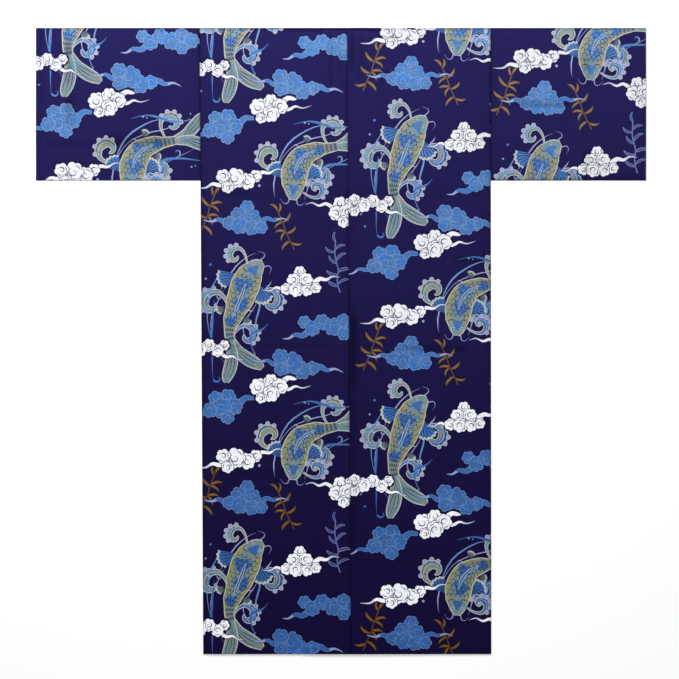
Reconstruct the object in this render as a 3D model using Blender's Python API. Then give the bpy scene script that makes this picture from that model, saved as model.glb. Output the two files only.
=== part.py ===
"""A men's yukata laid flat on its front, modelled in metres with +Z up.

The back faces up. +Y runs to the shoulders and +X to the wearer's right. The origin is on the surface
that the garment lies on, below the middle of the centre-back seam, halfway down its length.

Each length of cloth is a thin wall over one shared lattice of points. A layer's height at a lattice
point is what lies below it there, so the walls keep the same small gap everywhere.
"""

import math

import bmesh
import bpy

# Cloth: its wall, the gap between layers and at seams, and how far a folded edge bulges out
WALL = 0.001
GAP = 0.0003
FOLD_REACH = 0.0016
FOLD_STEPS = 4

# Body
LENGTH = 1.433
TOP = LENGTH / 2
HEM = -LENGTH / 2
FOLD_Y = TOP - FOLD_REACH
LEFT_SIDE_TOP = -0.3385
LEFT_SIDE_HEM = -0.3300
RIGHT_SIDE_TOP = 0.3275
RIGHT_SIDE_HEM = 0.3290
CENTRE_TOP = -0.0010
CENTRE_HEM = 0.0080

# Fronts: each gusset's seam and front edge, from the middle, and where its slanting edge runs
OKUMI_SEAM = 0.062
OKUMI_WIDTH = 0.150
FRONT_EDGE = OKUMI_WIDTH - OKUMI_SEAM
NECK_HALF = FRONT_EDGE
OKUMI_POINT = TOP - 0.230
COLLAR_END = TOP - 0.740

# Collar: its width, the same measured level across the slanting band, and the end of its cover
COLLAR_WIDTH = 0.055
COLLAR_ACROSS = 0.0565
COVER_END = TOP - 0.450

# Sleeves
LEFT_SLEEVE_END = -0.7130
RIGHT_SLEEVE_END = 0.6830
SLEEVE_BOTTOM = TOP - 0.3490

# Fold lines across the back, where it was folded to be put away
FOLD_HALF_WIDTH = 0.012
FOLD_FADE = 0.035
MID_FOLD_Y = COLLAR_END + FOLD_HALF_WIDTH
UPPER_FOLD_Y = 0.185
LOWER_FOLD_Y = -0.494
LEVEL_FOLDS = (
    # x from, x to, y, height
    (-0.400, 0.400, MID_FOLD_Y, 0.0005),
    (-0.400, -0.200, MID_FOLD_Y, 0.0010),
    (0.090, 0.290, MID_FOLD_Y, 0.0010),
    (0.215, 0.400, UPPER_FOLD_Y, 0.0009),
    (-0.110, 0.070, LOWER_FOLD_Y, 0.0008),
)

# The long soft fold along the centre-back seam
CENTRE_FOLD_HEIGHT = 0.0018
CENTRE_FOLD_TOP = 0.110
CENTRE_FOLD_FOOT = -0.480
CENTRE_FOLD_FADE = 0.200

# Each sleeve's upright and level fold line
SLEEVE_FOLD_HEIGHT = 0.0010
LEFT_SLEEVE_FOLD_X = -0.630
LEFT_SLEEVE_FOLD_Y = 0.455
RIGHT_SLEEVE_FOLD_X = 0.550
RIGHT_SLEEVE_FOLD_Y = 0.540
SLEEVE_LEVEL_FOLD = (0.370, 0.560)

# Lattice
BODY_CELL = 0.0246
ROW_CELL = 0.040
SLEEVE_CELL = 0.033

NAVY = (0.013, 0.010, 0.055, 1.0)
ROUGHNESS = 0.85


def filled(stops, most):
    """The stops in order, with equal steps no longer than `most` between them."""
    out = [stops[0]]
    for low, high in zip(stops, stops[1:]):
        steps = max(1, math.ceil(abs(high - low) / most - 1e-6))
        out += [low + (high - low) * k / steps for k in range(1, steps)] + [high]
    return out


def lerp(a, b, t):
    return a + (b - a) * t


def down(y):
    """0 at the shoulder line, 1 at the hem."""
    return (TOP - y) / LENGTH


def left_side(y):
    return lerp(LEFT_SIDE_TOP, LEFT_SIDE_HEM, down(y))


def right_side(y):
    return lerp(RIGHT_SIDE_TOP, RIGHT_SIDE_HEM, down(y))


def centre(y):
    return lerp(CENTRE_TOP, CENTRE_HEM, down(y))


def neck_line(y):
    """Where the left front ends: at the collar's seam, and below that at its front edge."""
    if y >= OKUMI_POINT:
        return lerp(-NECK_HALF, -OKUMI_SEAM, (FOLD_Y - y) / (FOLD_Y - OKUMI_POINT))
    if y >= COLLAR_END:
        return lerp(-OKUMI_SEAM, FRONT_EDGE, (OKUMI_POINT - y) / (OKUMI_POINT - COLLAR_END))
    return FRONT_EDGE


def soft(t):
    t = min(max(t, 0.0), 1.0)
    return t * t * (3 - 2 * t)


def ridge(distance, half_width):
    return soft(1 - abs(distance) / half_width)


def between(value, low, high, fade):
    return soft((value - low) / fade) * soft((high - value) / fade)


def relief(x, y):
    """How far the fold lines raise the back."""
    high = 0.0
    for x_from, x_to, fold_y, height in LEVEL_FOLDS:
        high += height * between(x, x_from, x_to, FOLD_FADE) * ridge(y - fold_y, FOLD_HALF_WIDTH)
    along = between(y, CENTRE_FOLD_FOOT, CENTRE_FOLD_TOP, CENTRE_FOLD_FADE)
    return high + CENTRE_FOLD_HEIGHT * along * ridge(x - centre(y), OKUMI_SEAM)


def sleeve_relief(fold_x, fold_y):
    """How far a sleeve's two fold lines raise its back."""

    def height(x, y):
        upright = ridge(x - fold_x, FOLD_HALF_WIDTH)
        level = ridge(y - fold_y, FOLD_HALF_WIDTH) * between(abs(x), *SLEEVE_LEVEL_FOLD, FOLD_FADE)
        return SLEEVE_FOLD_HEIGHT * max(upright, level)

    return height


# The body's lattice
HALF_STOPS = filled([0.0, OKUMI_SEAM, FRONT_EDGE, abs(LEFT_SIDE_HEM)], BODY_CELL)
MIDDLE = len(HALF_STOPS) - 1
COLUMNS = [-x for x in HALF_STOPS[:0:-1]] + HALF_STOPS
LAST = len(COLUMNS) - 1
SEAM_COLUMN = {-1: COLUMNS.index(-OKUMI_SEAM), 1: COLUMNS.index(OKUMI_SEAM)}
EDGE_COLUMN = {-1: COLUMNS.index(-FRONT_EDGE), 1: COLUMNS.index(FRONT_EDGE)}
PAST_BAND = 3
ROWS = filled(
    [
        HEM,
        LOWER_FOLD_Y - FOLD_HALF_WIDTH,
        LOWER_FOLD_Y,
        LOWER_FOLD_Y + FOLD_HALF_WIDTH,
        COLLAR_END,
        MID_FOLD_Y,
        MID_FOLD_Y + FOLD_HALF_WIDTH,
        UPPER_FOLD_Y - FOLD_HALF_WIDTH,
        UPPER_FOLD_Y,
        UPPER_FOLD_Y + FOLD_HALF_WIDTH,
        COVER_END,
        SLEEVE_BOTTOM,
        SLEEVE_BOTTOM + FOLD_REACH,
        OKUMI_POINT,
        TOP - COLLAR_WIDTH,
        FOLD_Y,
    ],
    ROW_CELL,
)
SHOULDER = len(ROWS) - 1
ARMHOLE = ROWS.index(SLEEVE_BOTTOM)
POINT_ROW = ROWS.index(OKUMI_POINT)


def place(i, j):
    """Where a lattice point is on the floor plan."""
    y = ROWS[j]
    if i == MIDDLE:
        return centre(y), y
    inset = FOLD_REACH if j <= ARMHOLE else 0.0
    if i == 0:
        return left_side(y) + inset, y
    if i == LAST:
        return right_side(y) - inset, y
    return COLUMNS[i], y


def covers(x_low, x_high, y_low, y_high, i, j):
    """True where a cell that meets the lattice point may meet the region between two edges."""
    low = max(ROWS[max(j - 1, 0)], y_low)
    high = min(ROWS[min(j + 1, SHOULDER)], y_high)
    if low > high:
        return False
    stops = [y for y in (low, high, OKUMI_POINT, COLLAR_END) if low <= y <= high]
    near = 0.001
    left = place(max(i - 1, 0), j)[0] - near
    right = place(min(i + 1, LAST), j)[0] + near
    return left < max(x_high(y) for y in stops) and right > min(x_low(y) for y in stops)


def band_covers(side, end, i, j):
    """True where a cell at the lattice point may meet the collar of one side, above its end."""
    if side < 0:
        band = covers(neck_line, lambda y: neck_line(y) + COLLAR_ACROSS, end, TOP, i, j)
    else:
        band = covers(lambda y: -neck_line(y) - COLLAR_ACROSS, lambda y: -neck_line(y), end, TOP, i, j)
    return band or covers(lambda y: -NECK_HALF, lambda y: NECK_HALF, TOP - COLLAR_WIDTH, TOP, i, j)


def front_height(side, i, j):
    """What the front, gusset and collar of one side add to the pile at a lattice point."""
    if side < 0:
        front = covers(left_side, neck_line, HEM, TOP, i, j)
    else:
        front = covers(lambda y: -neck_line(y), right_side, HEM, TOP, i, j)
    return (WALL + GAP) * max(front, 2 * band_covers(side, COLLAR_END, i, j))


def left_base(i, j):
    return 0.0


def right_base(i, j):
    """The right front lies on the left one where they cross, and on the floor above that."""
    return front_height(-1, i, j) if j <= POINT_ROW else 0.0


def back_height(i, j):
    pile = right_base(i, j) + front_height(1, i, j)
    return max(pile, front_height(-1, i, j)) + relief(*place(i, j))


def collar_height(base, side):
    """The collar lies on its cover as far as the cover goes, and then comes down."""

    def height(i, j):
        return base(i, j) + (WALL + GAP) * band_covers(side, COVER_END, i, j)

    return height


class Sheet:
    """A flat mesh of lattice cells, its points at the height of the cloth's underside."""

    def __init__(self, columns, rows, place_of, height):
        self.mesh = bmesh.new()
        points = {}
        for i in range(columns[0], columns[1] + 1):
            for j in range(rows[0], rows[1] + 1):
                points[i, j] = self.mesh.verts.new((*place_of(i, j), height(i, j)))
        for i in range(columns[0], columns[1]):
            for j in range(rows[0], rows[1]):
                a, b = points[i, j], points[i + 1, j]
                c, d = points[i + 1, j + 1], points[i, j + 1]
                self.mesh.faces.new((a, b, c))
                self.mesh.faces.new((a, c, d))
        self.points = points

    def cut(self, start, end, inside=None, above=HEM):
        """Cuts the faces above a height along a line, and keeps those on the side of `inside`."""
        (x0, y0), (x1, y1) = start, end
        faces = [f for f in self.mesh.faces if f.calc_center_median().y > above]
        edges = dict.fromkeys(e for f in faces for e in f.edges)
        verts = dict.fromkeys(v for f in faces for v in f.verts)
        normal = (y1 - y0, x0 - x1, 0)
        bmesh.ops.bisect_plane(
            self.mesh,
            geom=[*verts, *edges, *faces],
            dist=1e-6,
            plane_co=(x0, y0, 0),
            plane_no=normal,
        )
        if inside is None:
            return

        def beyond(x, y):
            return (x - x0) * normal[0] + (y - y0) * normal[1]

        wanted = beyond(*inside)
        middles = [(f, f.calc_center_median()) for f in self.mesh.faces]
        off = [f for f, m in middles if m.y > above and beyond(m.x, m.y) * wanted < 0]
        bmesh.ops.delete(self.mesh, geom=off, context="FACES")

    def narrow(self, column, shift):
        """Moves one edge column aside, to leave half of a seam's gap."""
        for (i, _), point in self.points.items():
            if i == column:
                point.co.x += shift

    def add(self, other):
        """Joins another sheet to this one along the edge that they share."""
        held = bpy.data.meshes.new("held")
        other.mesh.to_mesh(held)
        self.mesh.from_mesh(held)
        bpy.data.meshes.remove(held)
        bmesh.ops.remove_doubles(self.mesh, verts=self.mesh.verts, dist=2e-6)

    def parts(self):
        """Its points, its triangles facing up, and the edges of its outline."""
        bmesh.ops.triangulate(self.mesh, faces=self.mesh.faces)
        verts = [v for v in self.mesh.verts if v.link_faces]
        number = {v: k for k, v in enumerate(verts)}
        points = [tuple(v.co) for v in verts]
        faces = []
        for face in self.mesh.faces:
            a, b, c = (number[v] for v in face.verts)
            (ax, ay, _), (bx, by, _), (cx, cy, _) = points[a], points[b], points[c]
            turned = (bx - ax) * (cy - ay) < (by - ay) * (cx - ax)
            faces.append((a, c, b) if turned else (a, b, c))
        sides = {(f[k], f[(k + 1) % 3]) for f in faces for k in range(3)}
        return points, faces, [(a, b) for a, b in sides if (b, a) not in sides]


def wall(sheets, outward=None):
    """One closed wall from a sheet, or from a low and a high sheet that fold into each other.

    outward(x, y) is the way out at a point of a folded or sewn edge, and None on an open edge.
    """
    points = []
    faces = []
    folded = []
    for sheet in sheets:
        flat, cells, outline = sheet.parts()
        first = len(points)
        count = len(flat)
        points += flat
        points += [(x, y, z + WALL) for x, y, z in flat]
        faces += [tuple(first + k for k in reversed(cell)) for cell in cells]
        faces += [tuple(first + count + k for k in cell) for cell in cells]
        ends = {}
        for a, b in outline:
            spots = tuple((round(flat[k][0], 5), round(flat[k][1], 5)) for k in (a, b))
            a, b = first + a, first + b
            if outward and all(outward(*spot) for spot in spots):
                ends[spots] = (a, b, a + count, b + count)
            else:
                faces.append((a, b, b + count, a + count))
        folded.append(ends)
    if outward:
        faces += folded_edges(points, outward, *folded)
    return points, faces


def folded_edges(points, outward, low_ends, high_ends):
    """The faces that carry a low wall round into a high one, with the points that they need."""
    faces = []
    arcs = {}
    for spots, (a, b, _, _) in low_ends.items():
        for low, high in zip((a, b), high_ends[spots][2:]):
            if low in arcs:
                continue
            x, y, bottom = points[low]
            half = (points[high][2] - bottom) / 2
            out_x, out_y = outward(x, y)
            arcs[low] = [low]
            for k in range(1, FOLD_STEPS):
                turn = math.pi * (k / FOLD_STEPS - 0.5)
                reach = FOLD_REACH * math.cos(turn)
                arcs[low].append(len(points))
                z = bottom + half * (1 + math.sin(turn))
                points.append((x + out_x * reach, y + out_y * reach, z))
            arcs[low].append(high)
    starts = {edge[0] for edge in low_ends.values()}
    stops = {edge[1] for edge in low_ends.values()}
    for spots, (a, b, a_top, b_top) in low_ends.items():
        a_above, b_above = high_ends[spots][:2]
        for k in range(FOLD_STEPS):
            faces.append((arcs[a][k], arcs[b][k], arcs[b][k + 1], arcs[a][k + 1]))
        faces.append((b_top, a_top, a_above, b_above))
        if a not in stops:
            faces.append((*arcs[a], a_above, a_top))
        if b not in starts:
            faces.append((*reversed(arcs[b]), b_top, b_above))
    return faces


def cloth(name, shape):
    """A named object from a wall's points and faces, with its own material."""
    points, faces = shape
    mesh = bpy.data.meshes.new(name)
    mesh.from_pydata(points, [], faces)
    solid = bmesh.new()
    solid.from_mesh(mesh)
    bmesh.ops.triangulate(solid, faces=solid.faces)
    bmesh.ops.recalc_face_normals(solid, faces=solid.faces)
    solid.to_mesh(mesh)
    solid.free()
    material = bpy.data.materials.new(name)
    material.use_nodes = True
    material.diffuse_color = NAVY
    shader = material.node_tree.nodes["Principled BSDF"]
    shader.inputs["Base Color"].default_value = NAVY
    shader.inputs["Roughness"].default_value = ROUGHNESS
    mesh.materials.append(material)
    bpy.context.collection.objects.link(bpy.data.objects.new(name, mesh))


def body(name, side, base):
    """One length of cloth: the back panel, folded over the shoulder into the front panel."""
    outer = 0 if side < 0 else LAST
    front = Sheet(sorted((outer, SEAM_COLUMN[side])), (0, SHOULDER), place, base)
    back = Sheet(sorted((outer, MIDDLE)), (0, SHOULDER), place, back_height)
    half = side * GAP / 2
    front.narrow(SEAM_COLUMN[side], half)
    back.narrow(MIDDLE, half)
    neck = (side * NECK_HALF, FOLD_Y)
    point = (side * OKUMI_SEAM + half, OKUMI_POINT)
    front.cut(neck, point, inside=(side, TOP), above=OKUMI_POINT)

    def outward(x, y):
        """Folded over the shoulder as far as the neck, and sewn down the side below the sleeve."""
        near = FOLD_REACH / 4
        if y > FOLD_Y - near:
            return (0.0, 1.0) if side * x > NECK_HALF - near else None
        edge = left_side(y) if side < 0 else right_side(y)
        at_side = side * (edge - x) < FOLD_REACH + near
        return (float(side), 0.0) if at_side and y < SLEEVE_BOTTOM + near else None

    cloth(name, wall([front, back], outward))


def okumi(name, side, base):
    """The gusset strip between a front panel and its front edge, which slants up to a point."""
    sheet = Sheet(sorted((SEAM_COLUMN[side], EDGE_COLUMN[-side])), (0, POINT_ROW), place, base)
    sheet.narrow(SEAM_COLUMN[side], -side * GAP / 2)
    point = (side * OKUMI_SEAM, OKUMI_POINT)
    foot = (-side * FRONT_EDGE, COLLAR_END)
    sheet.cut(point, foot, inside=(side, COLLAR_END), above=COLLAR_END)
    cloth(name, wall([sheet]))


def band_half(side, end, height):
    """Half of the collar: the band along one front and its half of the strip behind the neck."""
    columns = sorted((EDGE_COLUMN[side], EDGE_COLUMN[-side] - side * PAST_BAND))
    neck_row = ROWS.index(TOP - COLLAR_WIDTH)
    neck_columns = sorted((EDGE_COLUMN[side], MIDDLE))
    lower = Sheet(columns, (ROWS.index(end), POINT_ROW), place, height)
    upper = Sheet(columns, (POINT_ROW, neck_row), place, height)
    neck = Sheet(neck_columns, (neck_row, SHOULDER), place, height)

    def on_line(y, past):
        return -side * neck_line(y) - side * past, y

    far = -side
    for sheet, high, low in (
        (lower, OKUMI_POINT, COLLAR_END),
        (upper, FOLD_Y, OKUMI_POINT),
        (neck, FOLD_Y, OKUMI_POINT),
    ):
        seam = on_line(high, GAP), on_line(low, GAP)
        edge = on_line(high, COLLAR_ACROSS), on_line(low, COLLAR_ACROSS)
        sheet.cut(*seam, inside=(far, (high + low) / 2))
        sheet.cut(*edge, inside=None if sheet is neck else (side, (high + low) / 2))
    foot_x, foot_y = on_line(end, GAP)
    across = OKUMI_POINT - COLLAR_END
    slant = OKUMI_SEAM + FRONT_EDGE
    lower.cut((foot_x, foot_y), (foot_x - side * across, foot_y + slant), inside=(foot_x, TOP))
    lower.add(upper)
    lower.add(neck)
    return lower


def collar(name, end, left_height, right_height):
    """The band from one front's end, behind the neck and down to the other front's end."""
    band = band_half(-1, end, left_height)
    band.add(band_half(1, end, right_height))
    cloth(name, wall([band]))


def sleeve(name, side, end, armhole, fold):
    """A flattened tube, folded along its top and sewn along its bottom."""
    inner = abs(armhole(FOLD_Y))
    stops = [abs(end), abs(fold[0]) + FOLD_HALF_WIDTH, abs(fold[0]), abs(fold[0]) - FOLD_HALF_WIDTH]
    across = filled([*stops, inner], SLEEVE_CELL)
    heights = [SLEEVE_BOTTOM + FOLD_REACH, fold[1] - FOLD_HALF_WIDTH, fold[1]]
    up = filled([*heights, fold[1] + FOLD_HALF_WIDTH, FOLD_Y], SLEEVE_CELL)
    span = (0, len(across) - 1), (0, len(up) - 1)
    folds = sleeve_relief(*fold)

    def spot(i, j):
        y = up[j]
        return (armhole(y) + side * GAP if i == len(across) - 1 else side * across[i]), y

    front = Sheet(*span, spot, lambda i, j: 0.0)
    back = Sheet(*span, spot, lambda i, j: WALL + GAP + folds(*spot(i, j)))

    def outward(x, y):
        near = FOLD_REACH / 4
        if y > FOLD_Y - near:
            return 0.0, 1.0
        return (0.0, -1.0) if y < heights[0] + near else None

    cloth(name, wall([front, back], outward))


for item in list(bpy.data.objects):
    bpy.data.objects.remove(item, do_unlink=True)

left_collar = collar_height(left_base, -1)
right_collar = collar_height(right_base, 1)
body("body_left", -1, left_base)
body("body_right", 1, right_base)
okumi("okumi_left", -1, left_base)
okumi("okumi_right", 1, right_base)
collar("collar", COLLAR_END, left_collar, right_collar)
collar("collar_cover", COVER_END, left_base, right_base)
left_fold = (LEFT_SLEEVE_FOLD_X, LEFT_SLEEVE_FOLD_Y)
right_fold = (RIGHT_SLEEVE_FOLD_X, RIGHT_SLEEVE_FOLD_Y)
sleeve("sleeve_left", -1, LEFT_SLEEVE_END, left_side, left_fold)
sleeve("sleeve_right", 1, RIGHT_SLEEVE_END, right_side, right_fold)
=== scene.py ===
"""The looks of a men's yukata laid flat: printed cotton, sewn, pressed and unfolded, on a pale floor.

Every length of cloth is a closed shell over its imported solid. A shell is laid out as a flat pattern,
across and along the cloth, where the print is drawn, and is then laid on the floor, folded and sewn.
"""

import math
from collections import namedtuple
from functools import cached_property
from random import Random

import bmesh
import bpy
import numpy as np
from mathutils import Matrix, Vector
from mathutils.bvhtree import BVHTree
from mathutils.geometry import delaunay_2d_cdt


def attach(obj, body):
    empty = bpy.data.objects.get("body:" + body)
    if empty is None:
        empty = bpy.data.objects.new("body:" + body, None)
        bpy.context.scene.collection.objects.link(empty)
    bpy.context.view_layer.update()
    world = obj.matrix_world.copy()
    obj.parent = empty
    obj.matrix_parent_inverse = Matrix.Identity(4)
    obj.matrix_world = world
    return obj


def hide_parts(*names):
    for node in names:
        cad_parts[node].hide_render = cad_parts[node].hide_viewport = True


bpy.ops.object.select_all(action="DESELECT")
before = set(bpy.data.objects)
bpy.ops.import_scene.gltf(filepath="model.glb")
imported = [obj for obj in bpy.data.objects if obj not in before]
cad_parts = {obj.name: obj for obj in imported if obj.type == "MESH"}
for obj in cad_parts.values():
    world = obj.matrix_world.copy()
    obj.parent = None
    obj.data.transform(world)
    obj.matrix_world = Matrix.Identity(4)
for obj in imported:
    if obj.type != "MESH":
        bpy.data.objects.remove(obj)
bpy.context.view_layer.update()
bpy.ops.object.select_all(action="DESELECT")

# The garment's sizes, as in its solids
CLOTH = 0.0010
STEP = 0.0013
GAP = 0.00004
FOLD_REACH = 0.0016
LENGTH = 1.433
TOP = LENGTH / 2
HEM = -LENGTH / 2
FOLD_Y = TOP - FOLD_REACH
LEFT_SIDE = (-0.3385, -0.3300)
RIGHT_SIDE = (0.3275, 0.3290)
CENTRE = (-0.0010, 0.0080)
OKUMI_SEAM = 0.062
FRONT_EDGE = 0.088
NECK_HALF = FRONT_EDGE
OKUMI_POINT = TOP - 0.230
COLLAR_END = TOP - 0.740
COLLAR_WIDTH = 0.055
COLLAR_ACROSS = 0.0565
COVER_END = TOP - 0.450
SLEEVE_END = {-1: -0.7130, 1: 0.6830}
SLEEVE_BOTTOM = TOP - 0.3490

# The dyes, as sRGB, at the shoulders and at the hem, which differ by a painted gradient of light, and how
# much each is mottled
INKS = {
    "ground": ((16, 8, 49), (16, 8, 49), 0.0),
    "deep": ((11, 6, 34), (11, 6, 34), 0.0),
    "white": ((217, 218, 216), (234, 236, 241), 0.02),
    "shade": ((190, 196, 206), (192, 198, 220), 0.05),
    "line": ((42, 40, 76), (36, 34, 72), 0.05),
    "blue": ((78, 123, 174), (50, 88, 145), 0.34),
    "pale_blue": ((120, 152, 192), (88, 120, 170), 0.12),
    "lilac": ((154, 159, 190), (140, 144, 182), 0.10),
    "reed": ((110, 119, 162), (92, 99, 152), 0.15),
    "green": ((124, 142, 138), (110, 126, 126), 0.30),
    "olive": ((150, 148, 106), (136, 130, 84), 0.16),
    "cream": ((182, 186, 174), (172, 176, 168), 0.06),
    "gold": ((110, 84, 14), (88, 56, 12), 0.18),
    "straw": ((152, 128, 50), (128, 94, 36), 0.08),
    "wrong_side": ((38, 32, 78), (38, 32, 78), 0.10),
}


def turned(points, angle, scale=1.0, mirrored=False, at=(0.0, 0.0)):
    """Points mirrored, scaled, turned and moved, in that order."""
    c, s = math.cos(angle), math.sin(angle)
    out = []
    for x, y in points:
        if mirrored:
            x = -x
        x, y = x * scale, y * scale
        out.append((at[0] + x * c - y * s, at[1] + x * s + y * c))
    return out


def ring(x, y, r, steps=14):
    """A round outline."""
    return arc(x, y, r, 0.0, 2 * math.pi, steps)[:-1]


def curve(points, steps=6):
    """A smooth line through the points."""
    out = []
    last = len(points) - 1
    for k in range(last):
        four = points[max(k - 1, 0)], points[k], points[k + 1], points[min(k + 2, last)]
        for step in range(steps):
            t = step / steps
            out.append(tuple(
                0.5 * (2 * q + (r - p) * t + (2 * p - 5 * q + 4 * r - s) * t * t
                       + (3 * q - p - 3 * r + s) * t**3)
                for p, q, r, s in zip(*four)
            ))
    return out + [tuple(points[-1])]


def beside(path, k, off):
    """The place to the left of a path at its point k, and to its right for a negative distance."""
    (ax, ay), (bx, by) = path[max(k - 1, 0)], path[min(k + 1, len(path) - 1)]
    size = math.hypot(bx - ax, by - ay) or 1.0
    x, y = path[k]
    return x - (by - ay) / size * off, y + (bx - ax) / size * off


def brush(path, width):
    """The outline of a stroke along a path, width(t) across at each point."""
    halves = [width(k / (len(path) - 1)) / 2 for k in range(len(path))]
    left = [beside(path, k, half) for k, half in enumerate(halves)]
    return left + [beside(path, k, -half) for k, half in enumerate(halves)][::-1]


def tapered(width, lead=0.15, tip=0.12):
    """A brush width that swells from a point and thins out to its tip."""

    def at(t):
        return width * max(min(t / lead, 1.0, (1 - t) / (1 - lead) * 1.15), tip)

    return at


def even(width):
    """The same brush width all along."""
    return lambda t: width


def fading(width, past=1.02):
    """A brush width that thins out steadily."""
    return lambda t: width * (past - t)


def scalloped(x, y, r, bumps, turn, deep=0.17, steps=4):
    """A puff of cloud: a round outline with small bumps."""
    out = []
    for k in range(bumps * steps):
        a = turn + 2 * math.pi * k / (bumps * steps)
        part = (k % steps) / steps
        size = r * (1 - deep * (1 - math.sin(math.pi * part) ** 0.6))
        out.append((x + size * math.cos(a), y + size * math.sin(a)))
    return out


def bowed(least, more):
    """A brush width that swells in the middle."""
    return lambda t: least + more * math.sin(math.pi * t) ** 0.7


def spiral(x, y, r, turn, way, sweep=6.4, steps=10):
    """A line that winds in, to a fifth of its radius."""
    out = []
    for k in range(steps + 1):
        t = k / steps
        size = r * (1 - 0.80 * t)
        a = turn + way * sweep * t
        out.append((x + size * math.cos(a), y + size * math.sin(a)))
    return out


def arc(x, y, r, start, stop, steps=4):
    """A part of a circle."""
    turns = [start + (stop - start) * k / steps for k in range(steps + 1)]
    return [(x + r * math.cos(a), y + r * math.sin(a)) for a in turns]


# Puffs: x, y, radius, swirl turn, swirl way. In millimetres, about each cloud's middle.
CLOUD_SHAPES = (
    (
        (-20, 8, 18, 2.4, 1), (6, 15, 15, 1.4, -1), (22, 2, 16, 0.2, 1),
        (2, -9, 17, 4.6, -1), (-19, -14, 11, 3.8, 1),
    ),
    (
        (-31, 3, 12, 2.8, -1), (-14, -5, 16, 3.6, 1), (8, 3, 20, 1.0, -1),
        (30, 9, 14, 0.4, 1), (24, -12, 12, 5.2, -1),
    ),
    (
        (-12, 16, 14, 1.8, 1), (10, 17, 13, 1.0, -1), (-20, -3, 15, 2.8, -1),
        (3, -2, 18, 0.2, 1), (24, -2, 13, 5.8, 1), (-5, -20, 12, 4.2, -1),
    ),
    (
        (-52, 14, 12, 2.6, 1), (-38, 0, 15, 3.2, -1), (-17, 9, 15, 1.6, 1), (3, -3, 17, 4.4, -1),
        (25, 6, 13, 0.8, 1), (42, -8, 15, 5.6, 1), (22, -20, 12, 4.6, -1),
    ),
    (
        (2, 27, 13, 1.6, 1), (-13, 10, 15, 2.6, -1), (14, 9, 15, 0.4, 1), (-30, -8, 13, 3.2, 1),
        (-9, -11, 16, 4.0, -1), (14, -13, 14, 5.0, 1), (34, -10, 12, 5.8, -1),
    ),
)
# Tails: the points that a tail runs through, about the cloud's middle
TAIL_SHAPES = (
    ((30, 0), (44, 9), (58, 6), (72, 12), (88, 9)),
    ((20, 0), (38, -7), (52, -3), (66, -9), (84, -7)),
    ((24, 6), (40, 16), (54, 12), (68, 18), (82, 14)),
    ((44, -4), (60, -12), (74, -8), (88, -14), (100, -12)),
)


def cloud(shape, tails, inks):
    """A cloud of puffs with swirls in them and streaming tails.

    Each tail has its shape, its way and its width. inks are halo, edge, body, mark, tip and mark width.
    """
    halo, edge, body, mark, tip, thick = inks
    puffs = CLOUD_SHAPES[shape]
    lines = [
        (curve([(x * way, y) for x, y in TAIL_SHAPES[name]], 3), width)
        for name, way, width in tails
    ]
    art = [(halo, brush(line, fading(width + 4.5, 1.05))) for line, width in lines]
    art += [(halo, ring(x, y, r + 3.4, 12)) for x, y, r, _, _ in puffs]
    for line, width in lines:
        art += [
            (edge, brush(line, fading(width + 1.8, 1.04))),
            (body, brush(line, fading(width))),
            (tip, brush(line[len(line) * 3 // 5 :], fading(width * 0.40))),
        ]
    for x, y, r, turn, way in puffs:
        bumps = 7 if r > 14 else 6
        art += [
            (edge, scalloped(x, y, r + 1.4, bumps, turn)),
            (body, scalloped(x, y, r, bumps, turn)),
            (mark, brush(spiral(x, y, r * 0.50, turn, way), tapered(thick, 0.2, 0.3))),
        ]
        for step, lead in ((0.66, 2.0), (0.82, 2.9), (0.70, 4.3)):
            start = turn + way * lead
            swirl = arc(x, y, r * step, start, start + way * 1.2)
            art.append((mark, brush(swirl, tapered(thick * 0.9, 0.4))))
    return art


# How wide a carp is along its length, as a share of its widest, which is a share of its length
GIRTH = (
    (0.0, 0.16), (0.04, 0.40), (0.10, 0.62), (0.2, 0.88), (0.32, 1.0),
    (0.5, 0.92), (0.7, 0.62), (0.88, 0.34), (1.0, 0.27),
)
GIRTH_SHARE = 0.155
SPINE_STEPS = 60
SCALE_ROWS = 5
SCALE_COLUMNS = 15


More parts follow.
